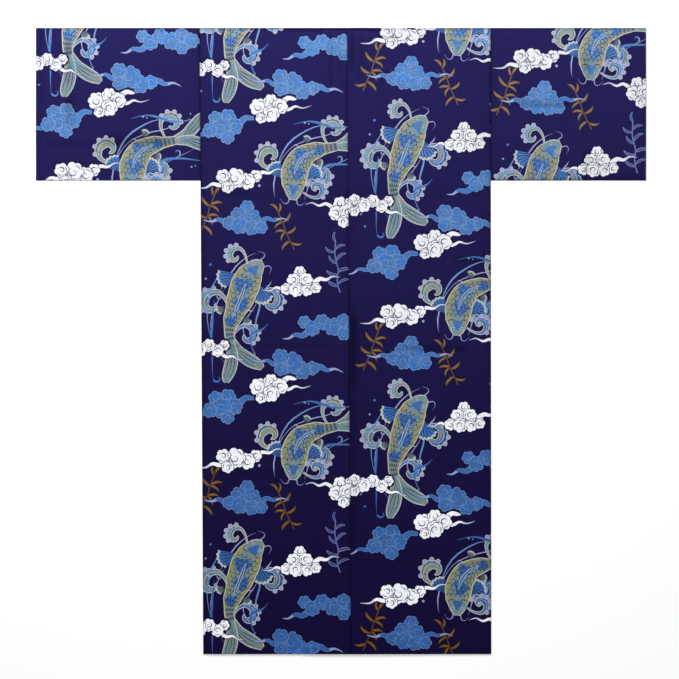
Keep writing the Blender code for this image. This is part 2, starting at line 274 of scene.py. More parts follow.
class Fish:
    """A carp along a bending spine; along runs from the nose to the root of the tail."""

    def __init__(self, size, bend, wave, heading):
        self.size = size
        line = []
        x = y = 0.0
        for k in range(SPINE_STEPS + 1):
            t = k / SPINE_STEPS
            a = heading + bend * (t - 0.5) + wave * math.sin(2 * math.pi * t)
            line.append((x, y, a))
            x -= math.cos(a) * size / SPINE_STEPS
            y -= math.sin(a) * size / SPINE_STEPS
        mid_x, mid_y = (sum(p[axis] for p in line) / len(line) for axis in (0, 1))
        self.line = [(x - mid_x, y - mid_y, a) for x, y, a in line]

    def half_width(self, t):
        """Half of the fish's width along it."""
        t = min(max(t, 0.0), 1.0)
        for (a, low), (b, high) in zip(GIRTH, GIRTH[1:]):
            if t <= b:
                part = (t - a) / (b - a)
                return self.size * GIRTH_SHARE * (low + (high - low) * (part * part * (3 - 2 * part)))

    def spot(self, t, across=0.0, out=0.0):
        """A place in the fish: along from 0 to 1, across from -1 to 1, and out past the side."""
        k = min(max(t, 0.0), 1.0) * SPINE_STEPS
        low = min(int(k), SPINE_STEPS - 1)
        x, y, a = (p + (q - p) * (k - low) for p, q in zip(self.line[low], self.line[low + 1]))
        past = (min(t, 0.0) + max(t - 1.0, 0.0)) * self.size
        x, y = x - math.cos(a) * past, y - math.sin(a) * past
        wide = across * self.half_width(t) + (out if across >= 0 else -out)
        return x - math.sin(a) * wide, y + math.cos(a) * wide

    def spots(self, *places):
        """Several such places."""
        return [self.spot(*place) for place in places]

    def outline(self, start, stop, low, high, out=0.0, steps=26):
        """A stretch of the fish, between two lines along it."""
        places = [start + (stop - start) * k / steps for k in range(steps + 1)]
        top = [self.spot(t, high, out) for t in places]
        return top + [self.spot(t, low, out) for t in places][::-1]

    def patch(self, t, across, long, wide, turn, steps=14):
        """An uneven blotch on the back."""
        out = []
        for k in range(steps):
            a = 2 * math.pi * k / steps
            size = 1 + 0.22 * math.sin(3 * a + turn) + 0.12 * math.sin(5 * a - turn)
            s = min(max(across + wide * size * math.sin(a), -0.93), 0.93)
            out.append(self.spot(t + long * size * math.cos(a), s))
        return out

    def fin(self, t, side, reach, spread, lean, inks, rays=5):
        """A fan of rays from the side of the fish."""
        edge, body, mark = inks
        x, y = self.spot(t, side * 0.8)
        ax, ay = self.spot(t, 0.0)
        base = math.atan2(y - ay, x - ax) + side * lean
        tips = []
        for k in range(rays * 2 + 1):
            part = k / (rays * 2)
            a = base + side * spread * (part - 0.5)
            notch = 1.0 if k % 2 == 0 else 0.93
            size = reach * (0.72 + 0.28 * math.sin(math.pi * (0.25 + 0.6 * part))) * notch
            tips.append((x + size * math.cos(a), y + size * math.sin(a)))
        inner = [(x + (px - x) * 0.9, y + (py - y) * 0.9) for px, py in tips]
        art = [(edge, [(x, y)] + tips), (body, [(x, y)] + inner)]
        for px, py in inner[1::2]:
            path = [(x + (px - x) * p, y + (py - y) * p) for p in (0.28, 0.6, 0.98)]
            art.append((mark, brush(path, even(1.5))))
        return art

    def tail(self, inks):
        """Two lobes with three rays each."""
        edge, body, mark = inks
        art = []
        reach = self.size * 0.40

        def lobe(past):
            return lambda t: reach * 0.34 * math.sin(math.pi * min(0.12 + 0.80 * t, 1.0)) + past

        for side in (-1, 1):
            path = [self.spot(0.95, side * 0.2)]
            for part, out in ((0.3, 0.10), (0.62, 0.30), (0.86, 0.52), (1.0, 0.60)):
                path.append(self.spot(1.0 + 0.40 * part, side * 0.01, self.size * 0.36 * out))
            line = curve(path, 5)
            art += [(edge, brush(line, lobe(3))), (body, brush(line, lobe(-1)))]
            ray = line[3:-2]
            for shift in (-0.10, 0.0, 0.10):
                swing = [shift * reach * math.sin(math.pi * k / len(ray)) for k in range(len(ray))]
                moved = [beside(ray, k, off) for k, off in enumerate(swing)]
                art.append((mark, brush(moved, tapered(1.7, 0.3))))
        return art


# Waves round a carp: along it, side, out from it, radius, width, way
WAVES = (
    (0.66, 1, 34, 30, 22, 1), (0.40, -1, 36, 26, 20, -1),
    (0.98, -1, 30, 24, 17, -1), (0.14, 1, 30, 20, 14, 1),
)
# Streams along a carp: start, stop, out from it as a share of its length, ink, width
STREAMS = (
    (0.02, 0.55, 0.20, "lilac", 3.0), (0.30, 0.98, 0.26, "pale_blue", 4.0),
    (0.45, 1.2, 0.18, "lilac", 2.6), (0.62, 1.3, 0.33, "blue", 6.0),
)
# Fins: along, reach, spread and lean. Blotches: along, across, length, width.
FINS = ((0.25, 0.26, 1.0, 0.75), (0.62, 0.15, 0.8, 0.8))
BLOTCHES = (
    (0.13, 0.0, 0.06, 0.45), (0.34, 0.2, 0.08, 0.62),
    (0.54, -0.25, 0.07, 0.60), (0.76, 0.1, 0.06, 0.70),
)


def carp(size, bend, wave, heading, skin, seed):
    """A carp among swirls of water."""
    rng = Random(seed)
    back, blotch, belly = skin
    fish = Fish(size, bend, wave, heading)
    art = []
    for t, side, out, r, width, way in WAVES:
        turn = fish.line[int(t * SPINE_STEPS)][2] + rng.uniform(-0.5, 0.5)
        inks = "cream", rng.choice((back, "blue")), rng.choice((belly, "pale_blue")), "lilac"
        art += curl(*fish.spot(t, side, out), r, turn, way, width, inks)
    art += water(fish, rng)
    art += fish.tail(("cream", back, "deep"))
    for t, reach, spread, lean in FINS:
        inks = "cream", blotch if t < 0.5 else back, "deep"
        for side in (1, -1):
            art += fish.fin(t, side, size * reach, spread, lean, inks)
    art += [
        ("cream", fish.outline(0.0, 1.0, -1, 1, 2.0)),
        (back, fish.outline(0.01, 1.0, -1, 1)),
        (belly, fish.outline(0.16, 0.94, 0.66, 1.0)),
        (belly, fish.outline(0.16, 0.94, -1.0, -0.66)),
    ]
    art += [(blotch, fish.patch(*place, rng.uniform(0, 6.28))) for place in BLOTCHES]
    art += scales(fish)
    ridge = [fish.spot(0.30 + 0.42 * k / 10) for k in range(11)]
    art += [("cream", brush(ridge, bowed(1.2, 6.0))), (blotch, brush(ridge, bowed(0.4, 4.0)))]
    for side in (-1, 1):
        places = ((0.155, 0.12), (0.19, 0.45), (0.18, 0.8), (0.15, 0.97))
        gill = [fish.spot(t, side * across) for t, across in places]
        art.append(("deep", brush(curve(gill, 3), tapered(2.0, 0.4))))
        eye = fish.spot(0.085, side * 0.62)
        art += [("cream", ring(*eye, 3.4, 10)), ("deep", ring(*eye, 1.9, 8))]
        far = side * 1.5
        feeler = fish.spots((0.03, side * 0.8), (-0.04, far, 4), (-0.05, far, 13), (0.0, far, 22))
        art.append(("lilac", brush(curve(feeler, 5), tapered(2.2, 0.1))))
    mouth = fish.spots((0.02, -0.5), (-0.005, 0.0), (0.02, 0.5))
    art.append(("deep", brush(curve(mouth, 3), tapered(1.6, 0.5))))
    return art


def scales(fish):
    """Rows of bows across the back, every other row half a scale over."""
    art = []
    for column in range(SCALE_COLUMNS):
        t = 0.235 + 0.71 * column / (SCALE_COLUMNS - 1)
        for row in range(SCALE_ROWS):
            s = (row - (SCALE_ROWS - 1) / 2) * 0.38 + (0.19 if column % 2 else 0.0)
            if abs(s) <= 0.86:
                bow = ((-0.006, -0.19), (0.020, -0.12), (0.030, 0.0), (0.020, 0.12), (-0.006, 0.19))
                art.append(("deep", brush([fish.spot(t + u, s + v) for u, v in bow], even(1.25))))
    return art


def water(fish, rng):
    """Curls and drops of water round a fish."""
    art = []
    for side in (-1, 1):
        for start, stop, out, ink, wide in STREAMS:
            path = []
            for k in range(13):
                t = start + (stop - start) * k / 12
                swell = out * (0.75 + 0.25 * math.sin(5.0 * t + side + wide))
                path.append(fish.spot(t, side * 0.6, fish.size * swell))
            art.append((ink, brush(path, tapered(wide, 0.3))))
            (bx, by), (x, y) = path[-3], path[-1]
            turn = math.atan2(y - by, x - bx)
            r = 4.5 + wide
            cx, cy = x - side * r * math.sin(turn), y + side * r * math.cos(turn)
            end = spiral(cx, cy, r, turn - side * math.pi / 2, side, 4.6, 12)
            art.append((ink, brush(end, tapered(wide * 0.8, 0.1))))
    for _ in range(9):
        t = rng.uniform(0.1, 1.25)
        side = rng.choice((-1, 1))
        x, y = fish.spot(t, side * 0.8, fish.size * rng.uniform(0.12, 0.40))
        art.append((rng.choice(("pale_blue", "lilac", "blue")), ring(x, y, rng.uniform(1.6, 3.4), 8)))
    return art


def curl(x, y, r, turn, way, width, inks):
    """One breaking wave: a wide stroke rolling up, with stripes along it and foam on its back."""
    edge, body, stripe, foam = inks
    roll = spiral(x, y, r, turn, way, 5.4, 30)
    (lead_x, lead_y), a = roll[0], turn - way * math.pi / 2
    run = [
        (
            lead_x + math.cos(a) * r * f - math.cos(turn) * r * f * f * 0.35,
            lead_y + math.sin(a) * r * f - math.sin(turn) * r * f * f * 0.35,
        )
        for f in (1.5, 1.1, 0.7, 0.35)
    ]
    path = run + roll
    last = len(path) - 1
    wide = tapered(width, 0.35, 0.06)
    art = [(edge, brush(path, lambda t: wide(t) + 3.6)), (body, brush(path, wide))]
    for part, ink, thick in ((-0.26, stripe, 0.20), (0.08, edge, 0.08), (0.28, "deep", 0.07)):
        moved = [beside(path, k, wide(k / last) * part) for k in range(2, last - 3)]
        art.append((ink, brush(moved, tapered(width * thick, 0.3))))
    for k in range(7, 22, 3):
        fleck = beside(path, k, -way * (wide(k / last) / 2 + 2.5))
        art += [(edge, ring(*fleck, 5.4, 10)), (foam, ring(*fleck, 4.2, 10))]
    return art


def leaf(x, y, angle, long, wide):
    """The bent midrib of a leaf."""
    path = [(0, 0), (long * 0.3, wide * 0.08), (long * 0.7, wide * 0.05), (long, -wide * 0.12)]
    return turned(curve(path, 4), angle, at=(x, y))


def blade(width, past=0.0):
    """A leaf's width along its midrib."""
    return lambda t: width * math.sin(math.pi * min(0.06 + 0.94 * t, 0.99)) ** 0.8 + 0.3 + past


def shine(width):
    """The width of the light along a leaf."""
    return lambda t: width * 0.30 * math.sin(math.pi * min(0.1 + 0.85 * t, 1)) + 0.3


def sprig(leaves, stem, inks, wide):
    """A stem with long leaves; inks are halo, body and light."""
    halo, body, light = inks
    lines = [(leaf(x, y, math.radians(a), long, wide * 4), wide * size) for x, y, a, long, size in leaves]
    art = [(halo, brush(curve(stem, 4), even(6.0)))]
    art += [(halo, brush(line, blade(size, 3.6))) for line, size in lines]
    art.append((body, brush(curve(stem, 4), even(2.6))))
    for line, size in lines:
        art += [
            (halo, brush(line, blade(size, 1.6))),
            (body, brush(line, blade(size))),
            (light, brush(line[2:-2], shine(size))),
        ]
    return art


BAMBOO_STEM = ((-8, -50), (-4, -28), (1, -4), (3, 22), (8, 50))
BAMBOO_LEAVES = (
    # root x, root y, heading, length, width
    (-5, -32, 205, 26, 0.9), (-4, -28, -28, 30, 1.0), (0, -8, 162, 28, 1.0), (1, -4, 18, 26, 0.9),
    (1, -4, -42, 24, 0.8), (3, 20, 148, 30, 1.0), (3, 22, 30, 28, 1.0), (3, 20, -16, 24, 0.8),
    (7, 46, 118, 22, 0.8), (8, 50, 62, 24, 0.9),
)
REED_STEM = ((2, -60), (-2, -34), (3, -6), (-1, 24), (4, 60))
REED_LEAVES = (
    (0, -44, 150, 30, 0.9), (-1, -40, 24, 28, 0.8), (1, -18, 160, 28, 0.9), (2, -12, 12, 30, 1.0),
    (3, 8, 140, 26, 0.8), (1, 14, 38, 28, 0.9), (-1, 34, 152, 24, 0.8), (2, 40, 24, 24, 0.8),
    (4, 58, 96, 22, 0.7),
)

WHITE_INKS = ("deep", "line", "white", "line", "shade", 2.2)
BLUE_INKS = ("ground", "pale_blue", "blue", "pale_blue", "lilac", 1.6)
CARP_SKIN = ("green", "blue", "olive")
MOTIFS = {
    "white_b": cloud(0, ((2, 1, 12), (1, 1, 8)), WHITE_INKS),
    "white_c": cloud(1, ((1, 1, 11), (0, -1, 9)), WHITE_INKS),
    "white_d": cloud(2, ((0, 1, 11), (2, -1, 8)), WHITE_INKS),
    "white_e": cloud(3, ((3, 1, 12), (3, -1, 9)), WHITE_INKS),
    "white_f": cloud(4, ((0, 1, 12), (1, -1, 9)), WHITE_INKS),
    "blue_a": cloud(1, ((0, -1, 12), (1, 1, 10)), BLUE_INKS),
    "blue_c": cloud(2, ((0, -1, 11), (1, 1, 8)), BLUE_INKS),
    "blue_d": cloud(3, ((3, -1, 12), (3, 1, 10)), BLUE_INKS),
    "blue_e": cloud(4, ((1, -1, 13), (0, 1, 9)), BLUE_INKS),
    "carp_a": carp(205, 1.5, 0.30, 1.2, CARP_SKIN, 3),
    "carp_b": carp(190, -1.2, 0.34, 4.0, CARP_SKIN, 8),
    "bamboo": sprig(BAMBOO_LEAVES, BAMBOO_STEM, ("deep", "gold", "straw"), 7.0),
    "reed": sprig(REED_LEAVES, REED_STEM, ("ground", "reed", "deep"), 7.5),
}

# The print repeats along the cloth, in metres, with these motifs in each repeat
REPEAT = 0.640
LAYOUT = (
    # motif, across mm, along mm, turn in degrees, size, mirrored
    ("carp_a", 112, 170, 0, 1.0, False),
    ("carp_b", 262, 478, 0, 1.0, False),
    ("reed", 330, 246, 6, 1.0, False),
    ("bamboo", 34, 366, -12, 1.0, False),
    ("bamboo", 214, 330, 14, 0.95, True),
    ("blue_d", 318, 112, 8, 1.15, False),
    ("blue_e", 120, 352, -6, 1.15, False),
    ("blue_c", 70, 566, 10, 1.25, True),
    ("blue_a", 236, 20, -14, 1.25, True),
    ("white_f", 246, 206, 4, 1.05, False),
    ("white_e", 20, 60, -8, 1.0, True),
    ("white_c", 108, 446, 6, 1.2, True),
    ("white_d", 352, 372, 0, 1.15, False),
    ("white_b", 176, 606, 10, 1.15, False),
)

# How far the cloth above a layer takes to come down over its edge
LIFT_REACH = 0.020


def smooth(t):
    """From 0 to 1, level at both ends."""
    t = np.clip(t, 0.0, 1.0)
    return t * t * t * (t * (6 * t - 15) + 10)


def lerp(a, b, t):
    return a + (b - a) * t


def down(y):
    """How far down from the shoulders a place is, from 0 to 1."""
    return (TOP - y) / LENGTH


def side_line(side, y):
    return lerp(*(LEFT_SIDE if side < 0 else RIGHT_SIDE), down(y))


def centre_line(y):
    return lerp(*CENTRE, down(y))


def neck_line(y):
    """Where the left front ends: at the collar's seam, and below that at its front edge."""
    places = (FRONT_EDGE, FRONT_EDGE, -OKUMI_SEAM, -NECK_HALF)
    return np.interp(y, (HEM, COLLAR_END, OKUMI_POINT, FOLD_Y), places)


def lift(inside):
    """How much of a layer's height the cloth above it has, by the distance inside that layer's edge."""
    return smooth(1 + inside / LIFT_REACH)


def band_inside(side, x, y, end):
    """How far inside the edges of a collar band a place lies."""
    x = -side * x
    line = neck_line(y)
    arm = np.minimum(np.minimum(x - line, line + COLLAR_ACROSS - x), y - end)
    strip = np.minimum(NECK_HALF - np.abs(x), y - (TOP - COLLAR_WIDTH))
    return np.maximum(arm, strip)


def front_pile(side, x, y):
    """The height of one front with its gusset, collar and cover."""
    band = band_inside(side, x, y, COLLAR_END)
    front = neck_line(y) + side * x
    return STEP * (lift(np.maximum(front, band)) + lift(band))


def crossing(y):
    """1 where the fronts lie across each other, and 0 by the neck."""
    return smooth((OKUMI_POINT + 0.020 - y) / 0.030)


def base_height(side, x, y):
    """The left front lies on the floor, and the right one over it."""
    if side < 0:
        return np.zeros_like(x)
    return crossing(y) * front_pile(-1, x, y)


def back_height(x, y):
    """The back lies over both fronts, and over the higher of them where they don't cross."""
    left, right = front_pile(-1, x, y), front_pile(1, x, y)
    apart = (left**4 + right**4 + 1e-20) ** 0.25
    return lerp(apart, left + right, crossing(y))


# Creases from when it lay folded away. Each runs across the garment or up it, from and to, and has a
# place, a width, a height, a depth of painted shade, and the side on which it ends sharply: 1 is up or
# right.
Crease = namedtuple("Crease", "heading start stop at width high dark sharp")


def rows_of(*rows):
    """A table of creases."""
    return tuple(Crease(*row) for row in rows)


CREASES = rows_of(
    ("up", -0.115, 0.075, 0.0118, 0.0070, 0.0016, 0.36, -1),
    ("up", -0.500, 0.110, 0.0116, 0.0075, 0.0008, 0.18, -1),
    ("across", -0.352, -0.215, -0.0114, 0.0036, 0.0014, 0.36, -1),
    ("across", -0.230, 0.120, -0.0135, 0.0040, 0.0006, 0.12, -1),
    ("across", 0.110, 0.285, -0.0190, 0.0062, 0.0015, 0.36, -1),
    ("across", 0.230, 0.335, 0.1850, 0.0060, 0.0014, 0.34, -1),
    ("across", -0.090, 0.020, -0.4940, 0.0060, 0.0012, 0.30, -1),
    ("across", 0.050, 0.335, -0.4300, 0.0060, 0.0007, 0.14, -1),
    ("across", -0.335, -0.100, -0.3050, 0.0060, 0.0007, 0.14, -1),
    ("across", -0.340, 0.330, 0.3350, 0.0080, 0.0006, 0.12, -1),
    ("up", 0.570, 0.716, -0.0380, 0.0050, 0.0009, 0.24, 1),
    ("up", 0.590, 0.716, -0.0160, 0.0040, 0.0007, 0.22, 1),
    ("up", 0.600, 0.716, 0.0110, 0.0055, 0.0010, 0.32, -1),
    ("up", 0.590, 0.716, 0.0270, 0.0050, 0.0006, 0.20, -1),
)
SLEEVE_CREASES = {
    -1: rows_of(
        ("across", -0.575, -0.395, 0.4545, 0.0105, 0.0018, 0.46, -1),
        ("across", -0.700, -0.550, 0.4500, 0.0080, 0.0008, 0.16, -1),
        ("up", 0.480, 0.575, -0.6380, 0.0080, 0.0015, 0.40, -1),
        ("up", 0.575, 0.700, -0.6400, 0.0065, 0.0010, 0.30, -1),
    ),
    1: rows_of(
        ("across", 0.375, 0.520, 0.5400, 0.0080, 0.0015, 0.38, -1),
        ("up", 0.368, 0.450, 0.5463, 0.0085, 0.0018, 0.54, -1),
        ("up", 0.575, 0.665, 0.5440, 0.0080, 0.0015, 0.38, -1),
        ("up", 0.450, 0.575, 0.5450, 0.0070, 0.0008, 0.16, -1),
    ),
}
# How dark the painted shade along the shoulder fold is, and how much more so over the neck
TOP_SHADE, NECK_SHADE = 0.60, 0.22
# A crease's form: where its fold and its lip are and how wide, in widths of the crease
FOLD_AT, FOLD_WIDE = -2.1, 1.1
LIP_AT, LIP_WIDE, LIP_HIGH = 1.5, 0.55, 0.7
# The points that carry it, past it in widths and every so far along it
CREASE_GRID = (-3.4, -2.2, -1.3, -0.6, 0.0, 0.5, 0.9, 1.4, 2.2)
CREASE_EVERY = 0.007


def crease(distance, width):
    """1 in the middle of a line, and less to both sides."""
    return 1 / (1 + (distance / width) ** 2)


def stretch(value, low, high, fade=0.030):
    """1 between two places, and 0 outside them."""
    return smooth((value - low) / fade) * smooth((high - value) / fade)


def wander(place, at):
    """A crease's own small waver."""
    return 0.0011 * np.sin(place * 27 + at * 90) + 0.0005 * np.sin(place * 71 + at * 40)


def beside_crease(row, x, y):
    """How many widths a place lies past a crease on its sharp side, and how much of the crease is there."""
    along, off = (x, y) if row.heading == "across" else (y, x)
    past = row.sharp * (off - row.at - wander(along, row.at)) / row.width
    return past, stretch(along, row.start, row.stop)


def creased(rows, x, y):
    """A low fold, and a narrow lip where it ends."""
    high = np.zeros_like(x)
    for row in rows:
        past, share = beside_crease(row, x, y)
        fold = crease(past - FOLD_AT, FOLD_WIDE) + LIP_HIGH * crease(past - LIP_AT, LIP_WIDE)
        high = high + row.high * share * fold
    return high


def top_shade(x, y):
    """Painted shade along the pressed shoulder fold, darkest over the neck, with a painted highlight below
    it.
    """
    below = TOP - y
    neck = stretch(x, -0.070, 0.070, 0.020)
    line = smooth((0.0046 + 0.0012 * neck - below) / 0.0022)
    return (TOP_SHADE + NECK_SHADE * neck) * line - 0.10 * crease(below - 0.0095, 0.0035)


def crease_shade(rows, x, y):
    """Painted shade in a crease's hollow, and a painted highlight on its lip."""
    dark = np.zeros_like(x)
    for row in rows:
        past, share = beside_crease(row, x, y)
        hollow = 1 / (1 + np.abs(past / np.where(past > 0, 0.75, 1.25)) ** 3)
        dark = dark + row.dark * share * (hollow - 0.18 * crease(past - 1.9, 0.6))
    return dark


def crease_spots(rows, flat_y):
    """Points of the pattern on both sides of every crease, where its form changes most."""
    spots = []
    for row in rows:
        for along in np.arange(row.start, row.stop, CREASE_EVERY):
            for step in CREASE_GRID:
                off = row.at + float(wander(along, row.at)) + row.sharp * step * row.width
                x, y = (along, off) if row.heading == "across" else (off, along)
                spots.append((float(x), float(y) - flat_y))
    return spots


def ripple(x, y, seed, size):
    """A slow unevenness of the cloth, from 0 to 1."""
    rng = Random(seed)
    total = np.zeros_like(x)
    for _ in range(7):
        a = rng.uniform(0, 2 * math.pi)
        wave = size * rng.uniform(0.7, 1.6)
        phase = rng.uniform(0, 2 * math.pi)
        total += np.sin((x * math.cos(a) + y * math.sin(a)) * 2 * math.pi / wave + phase)
    return 0.5 + total / 14


def settled(y, foot):
    """How freely the cloth swells: held down along the shoulder fold, and nearly flat at its foot."""
    return smooth((TOP - y) / 0.06) * (0.42 + 0.58 * smooth((y - foot) / 0.08))


def back_relief(x, y, inner):
    """The swell, and on the outer face the creases."""
    swell = 0.0042 * ripple(x, y, 5, 0.24) + 0.0012 * ripple(x, y, 23, 0.09)
    return swell * settled(y, HEM) + (0.0 if inner else creased(CREASES, x, y))


def sleeve_relief(side, x, y, inner):
    """The same on a sleeve."""
    swell = 0.0036 * ripple(x, y, 11 + side, 0.20) + 0.0010 * ripple(x, y, 31 + side, 0.08)
    return swell * settled(y, SLEEVE_BOTTOM) + (0.0 if inner else creased(SLEEVE_CREASES[side], x, y))


# Sewn and folded edges: how far a seam is rounded, outside and inside, and what its layers keep apart
SEAM_ROUND, INNER_ROUND = 0.0024, 0.001
SEAM_APART, INNER_APART = 0.00025, 0.0001
# The cloth's way round the shoulder fold
ARC = math.pi * FOLD_REACH
# The hem and the cuffs are stitched this far in, and are thicker up to a little past that
HEM_FOLD, HEM_THICK = 0.0125, 0.013
CUFF_FOLD, CUFF_THICK = 0.0105, 0.011
TURNED_HIGH = 0.0004
STITCH_DEEP, STITCH_WIDE = 0.00035, 0.0012
HEM_ROUND, HEM_LOW = 0.0006, 0.0002
# Beside a seam that sinks, the wrong side gives way by this, so that it stays under the printed face
INNER_DROP, INNER_DROP_REACH = 0.00028, 0.006
# The cloth swells freely from here on inward, and less towards a cuff and the foot of a sleeve
FREE_REACH, CUFF_FREE, FOOT_FREE = 0.030, 0.012, 0.020
# The side seam starts at the underarm, and takes this much to close
SEWN_REACH = 0.006
# The centre seam: how wide its allowance is, how thick on the right, how deep the seam is and how wide
CENTRE_ALLOWANCE, CENTRE_PRESS, CENTRE_DEEP, CENTRE_REACH = 0.013, 0.0005, 0.0011, 0.0034
# The side's allowance, and the foot's on a sleeve: how wide and how thick
SIDE_ALLOWANCE, SIDE_PRESS = 0.015, 0.0004
FOOT_ALLOWANCE, FOOT_PRESS = 0.013, 0.0003
# The armhole's seam: how far the cloth rounds over beside it, by how much above, and how much below
ARMHOLE_REACH, ARMHOLE_DEEP, ARMHOLE_LOW = 0.0030, 0.0010, 0.0003
# Between the two halves of a band and the garment's middle
HALF_JOIN = 0.00005


def rounded(distance, radius):
    """From 1 at an edge to 0 at a radius from it, as a quarter circle."""
    t = np.clip(distance / radius, 0.0, 1.0)
    return 1 - np.sqrt(np.clip(1 - (1 - t) ** 2, 0.0, 1.0))


def groove(distance, width):
    """1 along a line, and 0 from a width beside it."""
    return smooth(1 - np.abs(distance) / width)


def hemmed(high, low, distance, fold, thick):
    """A turned edge: double up to its stitches, which sink in, and round at its end."""
    high = high + TURNED_HIGH * smooth((thick - distance) / 0.002)
    high = high - STITCH_DEEP * groove(distance - fold, STITCH_WIDE) - HEM_ROUND * rounded(distance, 0.0010)
    return high, low + HEM_LOW * rounded(distance, 0.0008)


def closed(high, low, middle, near, apart):
    """The two faces of a tube meet halfway at a seam, this far off the middle."""
    return lerp(high, middle + apart, near), lerp(low, middle - apart, near)


class Tube:
    """A length of cloth whose back folds over at the shoulder line into its front."""

    def __init__(self, side, foot):
        self.side = side
        self.foot = foot
        self.rise = FOLD_Y - foot
        self.end = 2 * self.rise + ARC

    def spread(self, along):
        """How high in the plan places of the pattern lie, and how far round the fold they are."""
        turn = np.clip((along - self.rise) / ARC, 0.0, 1.0)
        back = self.foot + along
        front = FOLD_Y - (along - self.rise - ARC)
        y = np.where(along <= self.rise, back, np.where(turn >= 1, front, FOLD_Y))
        return y, turn

    def place(self, across, along, inner):
        """Where places of the flat pattern lie, on the printed face or on the inner one."""
        y, turn = self.spread(along)
        high, low = self.faces(across, y, inner)
        reach = FOLD_REACH - (CLOTH if inner else 0.0)
        z = lerp(low, high, (1 + np.cos(math.pi * turn)) / 2)
        out = y + reach * np.sin(math.pi * turn)
        return np.stack((across, self.past_neck(across, along, out), z), axis=1)

    def past_neck(self, across, along, y):
        return y


class Body(Tube):
    def __init__(self, side):
        super().__init__(side, HEM)

    def past_neck(self, across, along, y):
        """The back's neck edge runs straight on, up to the collar."""
        neck = (np.abs(across) < NECK_HALF - 1e-6) & (along > self.rise) & (along < self.rise + FOLD_REACH)
        return np.where(neck, self.foot + along, y)

    def faces(self, x, y, inner):
        """The heights of the back and of the front, on the printed face or on the inner one."""
        side = self.side
        edge = side * (side_line(side, y) - x)
        sewn = smooth((SLEEVE_BOTTOM - y) / SEWN_REACH)
        low = base_height(side, x, y)
        high = back_height(x, y) + back_relief(x, y, inner) * smooth(edge / FREE_REACH)
        seam = side * (x - centre_line(y)) - GAP / 2
        middle = (low + high + CLOTH) / 2
        if inner:
            low = low + CLOTH
            beside_seam = smooth(1 - seam / INNER_DROP_REACH)
            beside_sleeve = (1 - sewn) * smooth(1 - edge / INNER_DROP_REACH)
            high = high - INNER_DROP * np.maximum(beside_seam, beside_sleeve)
            return closed(high, low, middle, rounded(edge, INNER_ROUND) * sewn, INNER_APART)
        high, low = hemmed(high + CLOTH, low, y - HEM, HEM_FOLD, HEM_THICK)
        # The allowance of the centre seam is pressed to the right
        press = CENTRE_PRESS if side > 0 else 0.0
        high = high + press * smooth((CENTRE_ALLOWANCE - seam) / 0.003)
        high = high - (CENTRE_DEEP + press) * smooth(1 - seam / CENTRE_REACH)
        allowance = SIDE_PRESS * smooth((SIDE_ALLOWANCE - edge) / 0.004)
        by_sleeve = (1 - sewn) * smooth(1 - edge / ARMHOLE_REACH)
        high = high + allowance - (ARMHOLE_DEEP + allowance) * by_sleeve
        low = low + ARMHOLE_LOW * by_sleeve
        return closed(high, low, middle, rounded(edge, SEAM_ROUND) * sewn, SEAM_APART)

    def tone(self, x, y, front):
        """Painted shade along the seams and creases, from 0 to 1."""
        side = self.side
        dark = 0.42 * crease(side * (x - centre_line(y)), 0.0020)
        beside_sleeve = smooth((y - SLEEVE_BOTTOM) / 0.004)
        to_edge = side * (side_line(side, y) - x)
        dark = dark + (0.34 + 0.20 * beside_sleeve) * crease(to_edge, 0.0022)
        dark = dark + 0.16 * smooth((0.010 - to_edge) / 0.004) * (1 - beside_sleeve)
        dark = dark + 0.25 * crease(y - HEM - HEM_FOLD, 0.0010) + 0.20 * crease(y - HEM, 0.0012)
        dark = dark + crease_shade(CREASES, x, y) + top_shade(x, y)
        return np.where(front, self.front_tone(x, y), np.clip(dark, -0.15, 0.8))

    def front_tone(self, x, y):
        """Painted shade on the fronts: a little all over, and more along the gusset's seam, the side seam
        and the hem.
        """
        side = self.side
        dark = 0.12 + 0.40 * crease(x - side * OKUMI_SEAM, 0.0020) * smooth((OKUMI_POINT - y) / 0.004)
        dark = dark + 0.30 * crease(side * (side_line(side, y) - x), 0.0020)
        return np.clip(dark + 0.25 * crease(y - HEM - HEM_FOLD, 0.0010), 0, 0.7)


